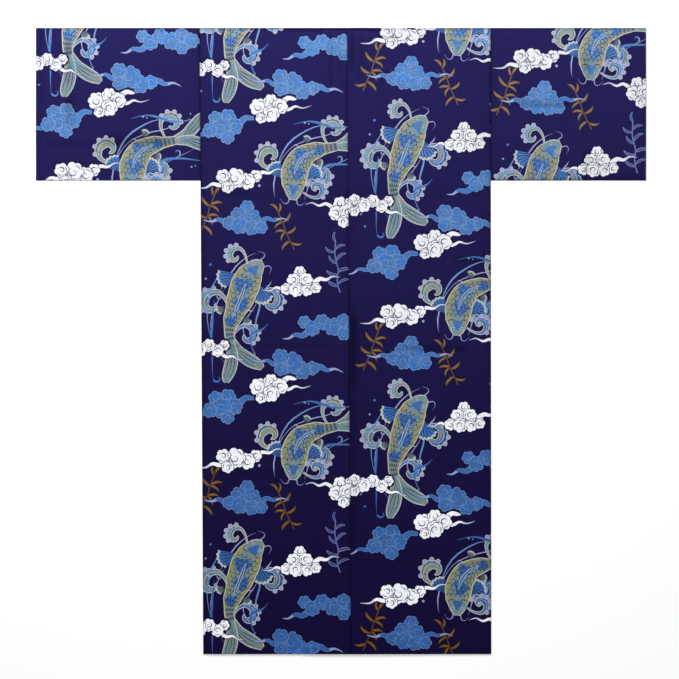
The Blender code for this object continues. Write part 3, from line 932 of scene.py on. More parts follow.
class Sleeve(Tube):
    def __init__(self, side):
        super().__init__(side, SLEEVE_BOTTOM)

    def faces(self, x, y, inner):
        """The same for a sleeve, whose front lies flat on the floor."""
        side = self.side
        shoulder = side * (x - side_line(side, y)) - GAP
        cuff = side * (SLEEVE_END[side] - x)
        foot = y - SLEEVE_BOTTOM
        low = np.zeros_like(x)
        free = smooth(np.minimum(shoulder, cuff + CUFF_FREE) / FREE_REACH)
        high = STEP + sleeve_relief(side, x, y, inner) * free * smooth(foot / FOOT_FREE)
        middle = (low + high + CLOTH) / 2
        if inner:
            high = high - INNER_DROP * smooth(1 - shoulder / INNER_DROP_REACH)
            return closed(high, low + CLOTH, middle, rounded(foot, INNER_ROUND), INNER_APART)
        high, low = hemmed(high + CLOTH, low, cuff, CUFF_FOLD, CUFF_THICK)
        by_body = smooth(1 - shoulder / ARMHOLE_REACH)
        high = high + FOOT_PRESS * smooth((FOOT_ALLOWANCE - foot) / 0.003) - ARMHOLE_DEEP * by_body
        return closed(high, low + ARMHOLE_LOW * by_body, middle, rounded(foot, SEAM_ROUND), SEAM_APART)

    def tone(self, x, y, front):
        """The same for a sleeve."""
        side = self.side
        dark = 0.54 * crease(side * (x - side_line(side, y)), 0.0022)
        dark = dark + 0.25 * crease(side * (SLEEVE_END[side] - x) - CUFF_FOLD, 0.0010)
        foot = y - SLEEVE_BOTTOM
        # Painted shade along the sleeve's foot, and on the left sleeve a painted highlight just above it
        deep, wide, foot_highlight = (0.20, 0.0014, 0.10) if side < 0 else (0.55, 0.0042, 0.0)
        dark = dark + deep * crease(foot, wide)
        dark = dark - foot_highlight * smooth((0.018 - foot) / 0.004) * smooth((foot - 0.002) / 0.003)
        pressed = crease_shade(SLEEVE_CREASES[side], x, y) + top_shade(x, y)
        return np.clip(0.12 * front + dark + np.where(front, 0, pressed), -0.15, 0.8)


class Strip:
    """A single layer that lies under the back with its printed face down, and has no fold."""

    rise = math.inf

    def __init__(self, side, end=None, lifted=False):
        self.side = side
        self.end = end
        self.lifted = lifted

    def place(self, across, along, inner):
        y = TOP - along
        z = base_height(self.side, across, y)
        if self.lifted:
            z = z + STEP * lift(band_inside(self.side, across, y, COVER_END))
        return np.stack((across, y, z + (CLOTH if inner else 0.0)), axis=1)

    def tone(self, x, y, front):
        """Painted shade along the sewn edges, and a little all over."""
        if self.end is None:
            near = np.minimum(np.abs(np.abs(x) - OKUMI_SEAM), np.abs(np.abs(x) - FRONT_EDGE))
        else:
            line = neck_line(y) + self.side * x
            near = np.minimum(np.abs(line), np.abs(line + COLLAR_ACROSS))
        return 0.10 + 0.42 * crease(near, 0.0020)


# Cutting: each flat pattern becomes triangles along its outline and along the edges between its colours


def linear(value):
    """An sRGB value from 0 to 255, as the light it stands for."""
    value /= 255
    return value / 12.92 if value <= 0.04045 else ((value + 0.055) / 1.055) ** 2.4


DYE = np.array([
    [[*(linear(v) for v in colour), grain] for colour in ends] for *ends, grain in INKS.values()
])
INK_NUMBER = {name: k for k, name in enumerate(INKS)}
GROUND = DYE[INK_NUMBER["ground"], 0]
WRONG_SIDE = DYE[INK_NUMBER["wrong_side"], 0]
# The heights between which each dye passes from its colour at the hem to its colour at the shoulders, a
# painted gradient of light, and how soon
LIGHT_RAMP_LOW, LIGHT_RAMP_HIGH, LIGHT_RAMP_POWER = -0.78, 0.72, 1.4
# No motif reaches further from its middle
MOTIF_REACH = 0.2
# The layers of a print lie apart by this when the topmost is looked for, from this height
LAYER = 1 / 500
ABOVE_ALL = 50.0


def dyed(inks, y):
    """Each face's dye, from its colour at the hem to its colour at the shoulders: a painted gradient of
    light.
    """
    light_ramp_share = (np.clip((y - LIGHT_RAMP_LOW) / (LIGHT_RAMP_HIGH - LIGHT_RAMP_LOW), 0, 1) ** LIGHT_RAMP_POWER)[:, None]
    return lerp(DYE[inks, 1], DYE[inks, 0], light_ramp_share)


def box_of(points):
    """The least and the most across, and the least and the most along."""
    xs, ys = zip(*points)
    return min(xs), max(xs), min(ys), max(ys)


def printed(box, offset, turn=0.0):
    """The dyed shapes that fall in a box of the pattern, in painting order."""
    low_x, high_x, low_y, high_y = box
    c, s = math.cos(turn), math.sin(turn)
    shapes = []
    span = math.hypot(high_x - low_x, high_y - low_y) + 1
    first = math.floor((-span - offset[1] + low_y) / REPEAT)
    last = math.ceil((span - offset[1] + high_y) / REPEAT)
    for k in range(first, last + 1):
        for kind, x, y, a, size, mirrored in LAYOUT:
            at_x, at_y = x / 1000 + offset[0], y / 1000 + offset[1] + k * REPEAT
            mid_x, mid_y = at_x * c - at_y * s, at_x * s + at_y * c
            if not (low_x - MOTIF_REACH < mid_x < high_x + MOTIF_REACH
                    and low_y - MOTIF_REACH < mid_y < high_y + MOTIF_REACH):
                continue
            for ink, points in MOTIFS[kind]:
                moved = turned(points, math.radians(a) + turn, size / 1000, mirrored, (mid_x, mid_y))
                left, right, foot, top = box_of(moved)
                if right > low_x and left < high_x and top > low_y and foot < high_y:
                    shapes.append((ink, moved))
    return shapes


def doubled_areas(flat, triangles):
    """Twice the area of each triangle, below zero where it runs clockwise."""
    a, b, c = (flat[triangles[:, k]] for k in range(3))
    return (b[:, 0] - a[:, 0]) * (c[:, 1] - a[:, 1]) - (b[:, 1] - a[:, 1]) * (c[:, 0] - a[:, 0])


def triangulated(points, edges, rim_edges=None):
    """Triangles between the points that keep the edges; with rim edges, only those that they enclose."""
    flat, made, triangles, _, origin, _ = delaunay_2d_cdt(points, edges, [], 0, 1e-6, rim_edges is not None)
    flat = np.array([p[:] for p in flat])
    if rim_edges:
        walls = {frozenset(edge) for edge, ids in zip(made, origin) if any(k in rim_edges for k in ids)}
        triangles = enclosed(triangles, walls)
    triangles = np.array(triangles)
    flip = doubled_areas(flat, triangles) < 0
    triangles[flip] = triangles[flip][:, ::-1]
    return flat, triangles


def enclosed(triangles, walls):
    """The triangles outside the walls are reached from the hull, and the others are kept."""
    beside_edge = {}
    for n, tri in enumerate(triangles):
        for k in range(3):
            beside_edge.setdefault(frozenset((tri[k], tri[k - 1])), []).append(n)
    seeds = [found[0] for edge, found in beside_edge.items() if len(found) == 1 and edge not in walls]
    outside = set(seeds)
    while seeds:
        tri = triangles[seeds.pop()]
        for k in range(3):
            edge = frozenset((tri[k], tri[k - 1]))
            fresh = [] if edge in walls else [n for n in beside_edge[edge] if n not in outside]
            outside.update(fresh)
            seeds += fresh
    return [tri for n, tri in enumerate(triangles) if n not in outside]


def looped(points, edges, shape):
    """Adds a closed line to the points and edges, and gives its points' numbers."""
    first, count = len(points), len(shape)
    edges += [(first + k, first + (k + 1) % count) for k in range(count)]
    points += shape
    return list(range(first, first + count))


def topmost(tree, flat, triangles):
    """Which layer lies on top at the middle of each triangle, and -1 off the cloth."""
    from_above = Vector((0.0, 0.0, -1.0))
    found = []
    for x, y in flat[triangles].mean(axis=1):
        hit = tree.ray_cast(Vector((x, y, ABOVE_ALL)), from_above)[0]
        found.append(-1 if hit is None else round(hit.z / LAYER))
    return np.array(found)


def within(outline, places):
    """Which places lie inside an outline."""
    x, y = places[:, 0], places[:, 1]
    inside = np.zeros(len(places), dtype=bool)
    for (ax, ay), (bx, by) in zip(outline, outline[1:] + outline[:1]):
        if ay != by:
            inside ^= ((ay > y) != (by > y)) & (x < ax + (bx - ax) * (y - ay) / (by - ay))
    return inside


def sides_of(triangles):
    """The directed edges of all triangles."""
    return np.concatenate([triangles[:, (0, 1)], triangles[:, (1, 2)], triangles[:, (2, 0)]])


def colour_edges(flat, triangles, colour):
    """The points and edges where two colours of the cloth meet."""
    sides = sides_of(triangles)
    colours = np.concatenate([colour] * 3)
    count = len(flat)
    keys = sides.min(axis=1) * count + sides.max(axis=1)
    order = np.argsort(keys, kind="stable")
    keys, colours = keys[order], colours[order]
    inside = (colours[:-1] >= 0) & (colours[1:] >= 0)
    kept = keys[:-1][(keys[:-1] == keys[1:]) & inside & (colours[:-1] != colours[1:])]
    used, numbered = np.unique(np.concatenate([kept // count, kept % count]), return_inverse=True)
    edges = np.stack((numbered[: len(kept)], numbered[len(kept) :]), axis=1)
    return [tuple(p) for p in flat[used].tolist()], [tuple(e) for e in edges.tolist()]


def cut(outline, shapes, lines, spots):
    """Triangles of a flat pattern: its points, its triangles and the ink of each."""
    points, edges, polygons, heights = [], [], [], []
    for layer, (_, shape) in enumerate([("ground", outline), *shapes]):
        polygons.append(looped(points, edges, shape))
        heights += [layer * LAYER] * len(shape)
    tree = BVHTree.FromPolygons([(x, y, z) for (x, y), z in zip(points, heights)], polygons)
    inks = np.array([0] + [INK_NUMBER[ink] for ink, _ in shapes])
    flat, triangles = triangulated(points, edges)
    layer = topmost(tree, flat, triangles)
    colour = np.where(within(outline, flat[triangles].mean(axis=1)), inks[layer], -1)
    points, edges = colour_edges(flat, triangles, colour)
    first = len(edges)
    looped(points, edges, outline)
    rim_edges = range(first, len(edges))
    for line in lines:
        edges.append((len(points), len(points) + 1))
        points += line
    points += [spot for spot, near in zip(spots, within(outline, np.array(spots))) if near]
    flat, triangles = triangulated(points, edges, rim_edges)
    layer = np.maximum(topmost(tree, flat, triangles), 0)
    used, numbered = np.unique(triangles, return_inverse=True)
    return flat[used], numbered.reshape(-1, 3), inks[layer]


def rim(triangles):
    """The points along the edges that only one triangle has, in order round the outline."""
    count = int(triangles.max()) + 1
    sides = sides_of(triangles)
    keys, back = sides[:, 0] * count + sides[:, 1], sides[:, 1] * count + sides[:, 0]
    after = {int(a): int(b) for a, b in sides[~np.isin(keys, back)]}
    start = next(iter(after))
    loop = [start]
    while after[loop[-1]] != start:
        loop.append(after[loop[-1]])
    if len(loop) != len(after):
        raise ValueError(f"a cut piece has {len(after)} rim edges, and one loop takes {len(loop)}")
    return loop


# Points inside a pattern carry the cloth's form: the size of their cells, and their distance from lines
BACK_CELL = 0.0095
STRIP_CELL = 0.010
STRIP_INNER_CELL = 0.011
SLEEVE_INNER_CELL = 0.018
FRONT_INNER_CELL, SIDE_INNER_CELL = 0.010, 0.022
FRONTS_END = 0.165
CLEARANCE = 0.0013
# Points along the centre seam, beside it and along the fold
SEAM_DOTS, BESIDE_DOTS, FOLD_DOTS = 0.012, 0.008, 0.010
# The lines over the fold, from one side to the other and this far past it
FOLD_STEPS, PAST_SIDES = 8, 0.01
# The back's neck edge ends this much short of the fold's
NECK_SHORT = 0.0002
NORMAL_STEP = 0.00015


def grid(outline, cell):
    """Points spread over an outline's box."""
    low_x, high_x, low_y, high_y = box_of(outline)
    across = np.arange(low_x + cell / 2, high_x, cell)
    along = np.arange(low_y + cell / 2, high_y, cell)
    return [(float(x), float(y)) for x in across for y in along]


def inner_grid(outline):
    """Coarser points for the inner face, close together where it crosses the edges of the fronts."""
    fine = [spot for spot in grid(outline, FRONT_INNER_CELL) if abs(spot[0]) < FRONTS_END]
    return fine + [spot for spot in grid(outline, SIDE_INNER_CELL) if abs(spot[0]) >= FRONTS_END]


def dotted(lines, every):
    """Points at even steps along lines."""
    dots = []
    for (ax, ay), (bx, by) in lines:
        count = int(math.hypot(bx - ax, by - ay) / every)
        dots += [(lerp(ax, bx, k / count), lerp(ay, by, k / count)) for k in range(1, count)]
    return dots


def clear_of(spots, lines):
    """The spots that keep their distance from every line."""
    places = np.array(spots)
    free = np.ones(len(places), dtype=bool)
    for start, stop in lines:
        start, along = np.array(start), np.array(stop) - np.array(start)
        share = np.clip((places - start) @ along / (along @ along), 0, 1)
        free &= np.hypot(*(places - start - share[:, None] * along).T) > CLEARANCE
    return [spot for spot, good in zip(spots, free) if good]


def normals_of(shape, flat, inner):
    """The way a shape faces at places of its pattern, from small steps across and along."""
    x, y = flat[:, 0], flat[:, 1]
    across = shape.place(x + NORMAL_STEP, y, inner) - shape.place(x - NORMAL_STEP, y, inner)
    along = shape.place(x, y + NORMAL_STEP, inner) - shape.place(x, y - NORMAL_STEP, inner)
    out = np.cross(across, along)
    size = np.linalg.norm(out, axis=1, keepdims=True)
    out /= np.maximum(size, 1e-15)
    out[size[:, 0] < 1e-15] = (0, 0, 1)
    return out


def key_of(place):
    """A place, to be found again in another list."""
    return tuple(round(float(v), 6) for v in place)


# Each piece has the unit square for its bake: where strips of it start, and how wide they are
BACK_U = (0.005, 0.50)
FRONT_U = (0.515, 0.43)
WRONG_SIDE_U = (0.955, 0.04)
LONG_V = (0.005, 0.99)
WRONG_SIDE_V = (0.01, 0.98)
# A single strip's printed face, and those of a band's two halves: from and to
STRIP_U = (0.005, 0.945)
HALVES_U = (0.005, 0.47), (0.48, 0.945)


def laid(strip, part):
    """From 0 to 1 across a strip."""
    return strip[0] + strip[1] * part


def wrong_side_bake(corners):
    """The wrong side is plain, and takes a narrow strip of the bake."""
    flat = corners.reshape(-1, 2)
    low, high = flat.min(axis=0), flat.max(axis=0)
    part = (flat - low) / np.maximum(high - low, 1e-9)
    return np.stack((laid(WRONG_SIDE_U, part[:, 0]), laid(WRONG_SIDE_V, part[:, 1])), axis=1)


def tube_bake(tube, outline):
    """The back and the front side by side."""
    low_x, high_x, _, _ = box_of(outline)
    half = tube.rise + ARC / 2

    def bake(corners):
        front = corners.mean(axis=1)[:, 1] > half
        u = (corners[..., 0] - low_x) / (high_x - low_x)
        u = np.where(front[:, None], laid(FRONT_U, u), laid(BACK_U, u))
        along = corners[..., 1]
        along = np.where(front[:, None], (along - tube.rise - ARC / 2) / half, along / half)
        return np.stack((u, laid(LONG_V, along)), axis=2).reshape(-1, 2)

    return bake


def strip_bake(outline, left, right):
    """The printed face, from left to right."""
    low_x, high_x, low_y, high_y = box_of(outline)

    def bake(corners):
        part = (corners - np.array((low_x, low_y))) / np.array((high_x - low_x, high_y - low_y))
        u = left + (right - left) * part[..., 0]
        return np.stack((u, laid(LONG_V, part[..., 1])), axis=2).reshape(-1, 2)

    return bake


class Piece:
    """Gathers the shells of one object."""

    def __init__(self, name):
        self.name = name
        self.area = 0.0
        self.points, self.faces, self.normals = [], [], []
        self.dyes, self.tones, self.bake = [], [], []

    def add(self, shape, outline, shapes, lines, spots, inner_lines, inner_spots, bake):
        """One closed shell: its printed face, its wrong side and the narrow walls between them."""
        flat, triangles, inks = cut(outline, shapes, lines, spots)
        loop = rim(triangles)
        edge = [tuple(float(v) for v in flat[k]) for k in loop]
        inner_flat, inner_triangles, _ = cut(edge, [], inner_lines, inner_spots)
        match = {key_of(inner_flat[k]): k for k in rim(inner_triangles)}
        partner = {k: match[key_of(flat[k])] for k in loop}
        inner_triangles = inner_triangles[:, ::-1]
        first = len(self.points)
        second = first + len(flat)
        for sheet, inner in ((flat, False), (inner_flat, True)):
            places = shape.place(sheet[:, 0], sheet[:, 1], inner)
            self.points += places.tolist()
            self.tones += shape.tone(places[:, 0], places[:, 1], sheet[:, 1] > shape.rise).tolist()
            if not inner:
                self.dyes.append(dyed(inks, places[triangles, 1].mean(axis=1)))
        pairs = list(zip(loop, loop[1:] + loop[:1]))
        walls = [(first + b, first + a, second + partner[a], second + partner[b]) for a, b in pairs]
        self.faces += (triangles + first).tolist() + (inner_triangles + second).tolist() + walls
        self.dyes.append(np.tile(WRONG_SIDE, (len(inner_triangles) + len(walls), 1)))
        corners = np.array(self.points)[np.array(walls)]
        across = np.cross(corners[:, 2] - corners[:, 0], corners[:, 3] - corners[:, 1])
        across /= np.maximum(np.linalg.norm(across, axis=1, keepdims=True), 1e-12)
        self.normals += [
            normals_of(shape, flat, False)[triangles].reshape(-1, 3),
            -normals_of(shape, inner_flat, True)[inner_triangles].reshape(-1, 3),
            np.repeat(across, 4, axis=0),
        ]
        self.bake += [
            bake(flat[triangles]),
            wrong_side_bake(inner_flat[inner_triangles]),
            wrong_side_bake(np.array([[flat[b], flat[a], flat[a], flat[b]] for a, b in pairs])),
        ]
        self.area += float(np.sum(doubled_areas(flat, triangles))) / 2

    def add_strip(self, shape, outline, offset, left, right, turn=0.0):
        """A single layer, whose form needs no lines of its own."""
        shapes = printed(box_of(outline), offset, turn)
        spots, inner_spots = grid(outline, STRIP_CELL), grid(outline, STRIP_INNER_CELL)
        self.add(shape, outline, shapes, [], spots, [], inner_spots, strip_bake(outline, left, right))

    def make(self, cloth, node, flat):
        """The object, with its dye, its shade, its bake and its normals."""
        material = printed_cotton(cloth)
        mesh = bpy.data.meshes.new(self.name)
        mesh.from_pydata(self.points, [], self.faces)
        for attribute, kind, domain, values, field in (
            ("dye", "FLOAT_COLOR", "FACE", np.concatenate(self.dyes), "color"),
            ("shade", "FLOAT", "POINT", np.array(self.tones), "value"),
        ):
            layer = mesh.attributes.new(attribute, kind, domain)
            layer.data.foreach_set(field, values.astype(np.float32).ravel())
        layer = mesh.uv_layers.new(name="OFBake")
        layer.uv.foreach_set("vector", np.concatenate(self.bake).astype(np.float32).ravel())
        mesh.polygons.foreach_set("use_smooth", [True] * len(mesh.polygons))
        mesh.normals_split_custom_set(np.concatenate(self.normals).tolist())
        mesh.materials.append(material)
        piece = bpy.data.objects.new(self.name, mesh)
        bpy.context.collection.objects.link(piece)
        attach(piece, "root")
        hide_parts(node)


# The lines of a pattern lie this far inside its edges, where the cloth's form turns fastest
SIDE_LINES = (0.0004, 0.0009, 0.0016, 0.0024, 0.0034, 0.013, 0.016)
CENTRE_LINES = (0.0008, 0.0018, 0.0034, 0.0056)
HEM_LINES = (0.0003, 0.0008, 0.0113, 0.0125, 0.0137, 0.0150)
ARMHOLE_LINES = (0.0008, 0.0018, 0.0032)
CUFF_LINES = (0.0003, 0.0009, 0.0092, 0.0105, 0.0118, 0.013)
FOOT_LINES = (0.0004, 0.0009, 0.0016, 0.0026, 0.010, 0.014)


def flat_size(outline):
    """The width and the length of a pattern."""
    low_x, high_x, low_y, high_y = box_of(outline)
    return round(high_x - low_x, 4), round(high_y - low_y, 4)


def folds(tube, outline):
    """The lines across a tube's pattern where it turns over at the shoulder."""
    low_x, high_x, _, _ = box_of(outline)
    places = (tube.rise + ARC * k / FOLD_STEPS for k in range(FOLD_STEPS + 1))
    return [((low_x - PAST_SIDES, y), (high_x + PAST_SIDES, y)) for y in places]


def levels(tube, outline, heights):
    """Lines across the back's pattern above its foot, and the same across the front's."""
    low_x, high_x, _, _ = box_of(outline)
    return [((low_x, y), (high_x, y)) for height in heights for y in (height, tube.end - height)]


def up_and_down(tube, foot_x, top_x):
    """A line up the back's pattern, and the same one down the front's."""
    return [((foot_x, 0.0), (top_x, tube.rise)), ((top_x, tube.rise + ARC), (foot_x, tube.end))]


def make_tube(name, tube, outline, offset, cloth, lines, spots, inner_spots, inner_every):
    """A length with its fold; the wrong side keeps every other line of it."""
    inner_lines = folds(tube, outline)[::2]
    shapes = printed(box_of(outline), offset)
    spots = spots + dotted(folds(tube, outline), FOLD_DOTS)
    inner_spots = clear_of(inner_spots, inner_lines) + dotted(inner_lines, inner_every)
    piece = Piece(name + "_cloth")
    piece.add(tube, outline, shapes, lines, spots, inner_lines, inner_spots, tube_bake(tube, outline))
    piece.make(cloth, name, flat_size(outline))


def make_body(name, side, offset, cloth):
    """Half of the body: back and front, from the centre seam to the side and the gusset."""
    tube = Body(side)
    rise, end = tube.rise, tube.end
    neck_top = rise + FOLD_REACH - NECK_SHORT
    half = side * GAP / 2
    seam = side * OKUMI_SEAM + half
    hem_x, top_x = side_line(side, HEM), side_line(side, FOLD_Y)
    centre_seam = (centre_line(HEM) + half, 0.0), (centre_line(TOP) + half, neck_top)
    outline = [
        centre_seam[0],
        *dotted([centre_seam], SEAM_DOTS),
        centre_seam[1],
        (side * NECK_HALF, neck_top),
        (side * NECK_HALF, rise + ARC),
        (seam, rise + ARC + (FOLD_Y - OKUMI_POINT)),
        (seam, end),
        (hem_x, end),
        (top_x, rise + ARC),
        (top_x, rise),
        (hem_x, 0.0),
    ]
    lines = folds(tube, outline)
    for off in SIDE_LINES:
        lines += up_and_down(tube, hem_x - side * off, top_x - side * off)
    beside_seam = [tuple((x + side * off, y) for x, y in centre_seam) for off in CENTRE_LINES]
    lines += beside_seam + levels(tube, outline, HEM_LINES)
    spots = clear_of(grid(outline, BACK_CELL) + crease_spots(CREASES, HEM), lines)
    spots += dotted(beside_seam, BESIDE_DOTS)
    make_tube(name, tube, outline, offset, cloth, lines, spots, inner_grid(outline), FOLD_DOTS)


def make_sleeve(name, side, offset, cloth):
    """A sleeve, from the armhole to the cuff."""
    tube = Sleeve(side)
    rise, end = tube.rise, tube.end
    foot_x, top_x = (side_line(side, y) + side * GAP for y in (SLEEVE_BOTTOM, FOLD_Y))
    cuff = SLEEVE_END[side]
    outline = [(foot_x, 0.0), (top_x, rise), (top_x, rise + ARC), (foot_x, end), (cuff, end), (cuff, 0.0)]
    lines = folds(tube, outline)
    for off in ARMHOLE_LINES:
        lines += up_and_down(tube, foot_x + side * off, top_x + side * off)
    lines += [((cuff - side * off, 0.0), (cuff - side * off, end)) for off in CUFF_LINES]
    lines += levels(tube, outline, FOOT_LINES)
    spots = clear_of(grid(outline, BACK_CELL) + crease_spots(SLEEVE_CREASES[side], SLEEVE_BOTTOM), lines)
    inner_spots = grid(outline, SLEEVE_INNER_CELL)
    make_tube(name, tube, outline, offset, cloth, lines, spots, inner_spots, SLEEVE_INNER_CELL)


def make_okumi(name, side, offset, cloth):
    """The gusset between a front and its edge."""
    seam = side * (OKUMI_SEAM - GAP / 2)
    edge = -side * FRONT_EDGE
    outline = [
        (seam, TOP - OKUMI_POINT),
        (seam, TOP - HEM),
        (edge, TOP - HEM),
        (edge, TOP - COLLAR_END),
    ]
    piece = Piece(name + "_cloth")
    piece.add_strip(Strip(side), outline, offset, *STRIP_U)
    piece.make(cloth, name, flat_size(outline))


def make_band(name, end, lifted, offset, cloth):
    """A band round the neck: its two halves meet at the centre, and each runs down along its front."""
    piece = Piece(name + "_cloth")
    point, foot = TOP - OKUMI_POINT, TOP - end
    slope = (OKUMI_SEAM + FRONT_EDGE) / (OKUMI_POINT - COLLAR_END)
    far_along = foot - COLLAR_ACROSS * slope / (1 + slope * slope)
    for side, half in zip((-1, 1), HALVES_U):
        outline = [
            (-side * (float(neck_line(TOP - along)) + past), along)
            for along, past in (
                (FOLD_REACH, GAP), (point, GAP), (foot, GAP),
                (far_along, COLLAR_ACROSS), (point, COLLAR_ACROSS), (COLLAR_WIDTH, COLLAR_ACROSS),
            )
        ]
        outline += [(side * HALF_JOIN, COLLAR_WIDTH), (side * HALF_JOIN, FOLD_REACH)]
        piece.add_strip(Strip(side, end, lifted), outline, offset, *half, -side * math.atan(slope))
    piece.make(cloth, name, (COLLAR_WIDTH, round(piece.area / COLLAR_WIDTH, 4)))


# How the cloth, the thread and the floor look
THREAD = 0.00052
COOLER, WARMER = (0.62, 1.00, 1.28, 1.0), (1.45, 1.10, 0.86, 1.0)
# Patches of the dye: size of the pattern, tint, strength, and whether they grow stronger towards the
# shoulders with the painted light
PATCHES = ((52.0, COOLER, 2.88, False), (87.0, WARMER, 1.44, True))
# How a noise is spread to patches and to specks: times and plus
PATCH_SPREAD, SPECK_SPREAD = (5.0, -2.3), (7.0, -3.6)
# Sizes of the patterns: the larger, the finer
SPECKS, YARNS, CLOUDING, WAVERING, MARKS, TWIST = 420.0, 300.0, 7.0, 60.0, 34.0, 2600.0
ALONG_X, ALONG_Y = (0.02, 1.0, 1.0), (1.0, 0.02, 1.0)
# A painted sheen, a bluish light mixed into the colour, and how much of it there is at the shoulders
PAINTED_SHEEN, PAINTED_SHEEN_SHARE = (0.17, 0.165, 0.86, 1.0), 0.060
DARK_THREAD, PALE_THREAD = (0.008, 0.006, 0.040, 1.0), (0.020, 0.020, 0.090, 1.0)


class Finish:
    """A material, and what its nodes are built with."""

    def __init__(self, name, roughness, gloss):
        self.material = bpy.data.materials.new(name)
        self.material.use_nodes = True
        self.tree = self.material.node_tree
        self.shader = self.tree.nodes["Principled BSDF"]
        self.shader.inputs["Roughness"].default_value = roughness
        self.shader.inputs["Specular IOR Level"].default_value = gloss

    @cached_property
    def place(self):
        return self.node("TexCoord").outputs["Object"]

    def feed(self, socket, value):
        """A socket takes a constant, or what another node gives."""
        if isinstance(value, (int, float, tuple)):
            socket.default_value = value
        else:
            self.tree.links.new(value, socket)

    def node(self, kind, **inputs):
        """A node with what its sockets take, by their names."""
        item = self.tree.nodes.new("ShaderNode" + kind)
        for key, value in inputs.items():
            self.feed(item.inputs[key.replace("_", " ")], value)
        return item

    def maths(self, operation, *values, clamp=False):
        item = self.node("Math")
        item.operation = operation
        item.use_clamp = clamp
        for socket, value in zip(item.inputs, values):
            self.feed(socket, value)
        return item.outputs[0]

    def times(self, first, second, clamp=False):
        return self.maths("MULTIPLY", first, second, clamp=clamp)

    def scaled(self, value, by, plus, clamp=False):
        return self.maths("MULTIPLY_ADD", value, by, plus, clamp=clamp)

    def mixed(self, factor, first, second, blend="MIX"):
        item = self.node("Mix")
        item.data_type = "RGBA"
        item.blend_type = blend
        for place, value in ((0, factor), (6, first), (7, second)):
            self.feed(item.inputs[place], value)
        return item.outputs[2]

    def darker(self, colour, value, share=1.0):
        """A colour times a grey value."""
        grey = self.node("CombineColor", Red=value, Green=value, Blue=value).outputs[0]
        return self.mixed(share, colour, grey, "MULTIPLY")

    def noise(self, scale, detail=2.0, squeezed=(1, 1, 1)):
        where = self.node("Mapping", Vector=self.place, Scale=squeezed).outputs[0]
        return self.node("TexNoise", Vector=where, Scale=scale, Detail=detail).outputs["Fac"]

    def attribute(self, name):
        item = self.node("Attribute")
        item.attribute_name = name
        return item.outputs


def printed_cotton(name):
    """Plain-weave cotton, dyed and mottled, with a painted sheen towards the shoulders and painted shade in
    its seams and creases.
    """
    f = Finish(name, 0.85, 0.04)
    dye, shade = f.attribute("dye"), f.attribute("shade")
    colour, strength = dye["Color"], dye["Alpha"]
    # A ramp of painted light, from the hem up to the shoulders
    split = f.node("SeparateXYZ", Vector=f.place)
    ramp = f.node("MapRange", Value=split.outputs["Y"], From_Min=LIGHT_RAMP_LOW, From_Max=LIGHT_RAMP_HIGH)
    painted_light_ramp = f.maths("POWER", ramp.outputs[0], LIGHT_RAMP_POWER)
    # The colours are mottled: cooler and warmer patches, and specks where the ground shows
    for scale, tint, more, grows_toward_shoulders in PATCHES:
        patch = f.scaled(f.noise(scale, 3.0), *PATCH_SPREAD, clamp=True)
        if grows_toward_shoulders:
            patch = f.times(patch, f.maths("ADD", painted_light_ramp, 0.4))
        patch = f.times(patch, f.times(strength, more, clamp=True))
        colour = f.mixed(patch, colour, f.mixed(1.0, colour, tint, "MULTIPLY"))
    speck = f.scaled(f.noise(SPECKS, 3.0), *SPECK_SPREAD, clamp=True)
    colour = f.mixed(f.times(speck, strength), colour, (*GROUND[:3], 1.0))
    # Uneven yarns, across and along
    yarns = f.maths("ADD", f.noise(YARNS, 2.0, ALONG_Y), f.noise(YARNS, 2.0, ALONG_X))
    colour = f.darker(colour, f.scaled(yarns, 0.5, 0.50), 0.5)
    colour = f.darker(colour, f.scaled(f.noise(CLOUDING), 0.30, 0.85), 0.8)
    # Painted sheen, more of it towards the shoulders
    colour = f.mixed(f.times(painted_light_ramp, PAINTED_SHEEN_SHARE), colour, PAINTED_SHEEN)
    # Painted shade in the seams and creases, from the shade attribute, weaker on pale cloth
    bright = f.node("RGBToBW", Color=colour).outputs[0]
    held = f.times(shade["Fac"], f.scaled(bright, -0.75, 1.0))
    colour = f.darker(colour, f.maths("SUBTRACT", 1.0, held))
    # Plain weave: warp and weft pass over each other by turns
    waver = f.times(f.noise(WAVERING, 1.0), 0.0016)
    places = (f.maths("ADD", split.outputs[axis], waver) for axis in "XY")
    warp, weft = (f.maths("SINE", f.times(place, math.pi / THREAD)) for place in places)
    over = f.times(warp, weft)
    warp_top = f.maths("ADD", f.maths("ABSOLUTE", warp), over)
    weft_top = f.maths("SUBTRACT", f.maths("ABSOLUTE", weft), over)
    weave = f.times(f.maths("MAXIMUM", warp_top, weft_top), 0.5)
    colour = f.darker(colour, f.scaled(weave, 0.42, 0.76, clamp=True))
    fine = f.node("Bump", Strength=0.45, Distance=0.00014, Height=weave)
    marks = f.noise(MARKS, 4.0)
    rumple = f.node("Bump", Strength=0.5, Distance=0.0014, Height=marks, Normal=fine.outputs[0])
    f.feed(f.shader.inputs["Base Color"], colour)
    f.feed(f.shader.inputs["Normal"], rumple.outputs[0])
    return f.material


def navy_thread(name):
    """Twisted sewing thread, a little lighter than the cloth."""
    f = Finish(name, 0.6, 0.25)
    twist = f.noise(TWIST, 1.0)
    ply = f.node("Bump", Strength=0.6, Distance=0.0001, Height=twist)
    f.feed(f.shader.inputs["Base Color"], f.mixed(twist, DARK_THREAD, PALE_THREAD))
    f.feed(f.shader.inputs["Normal"], ply.outputs[0])
    return f.material


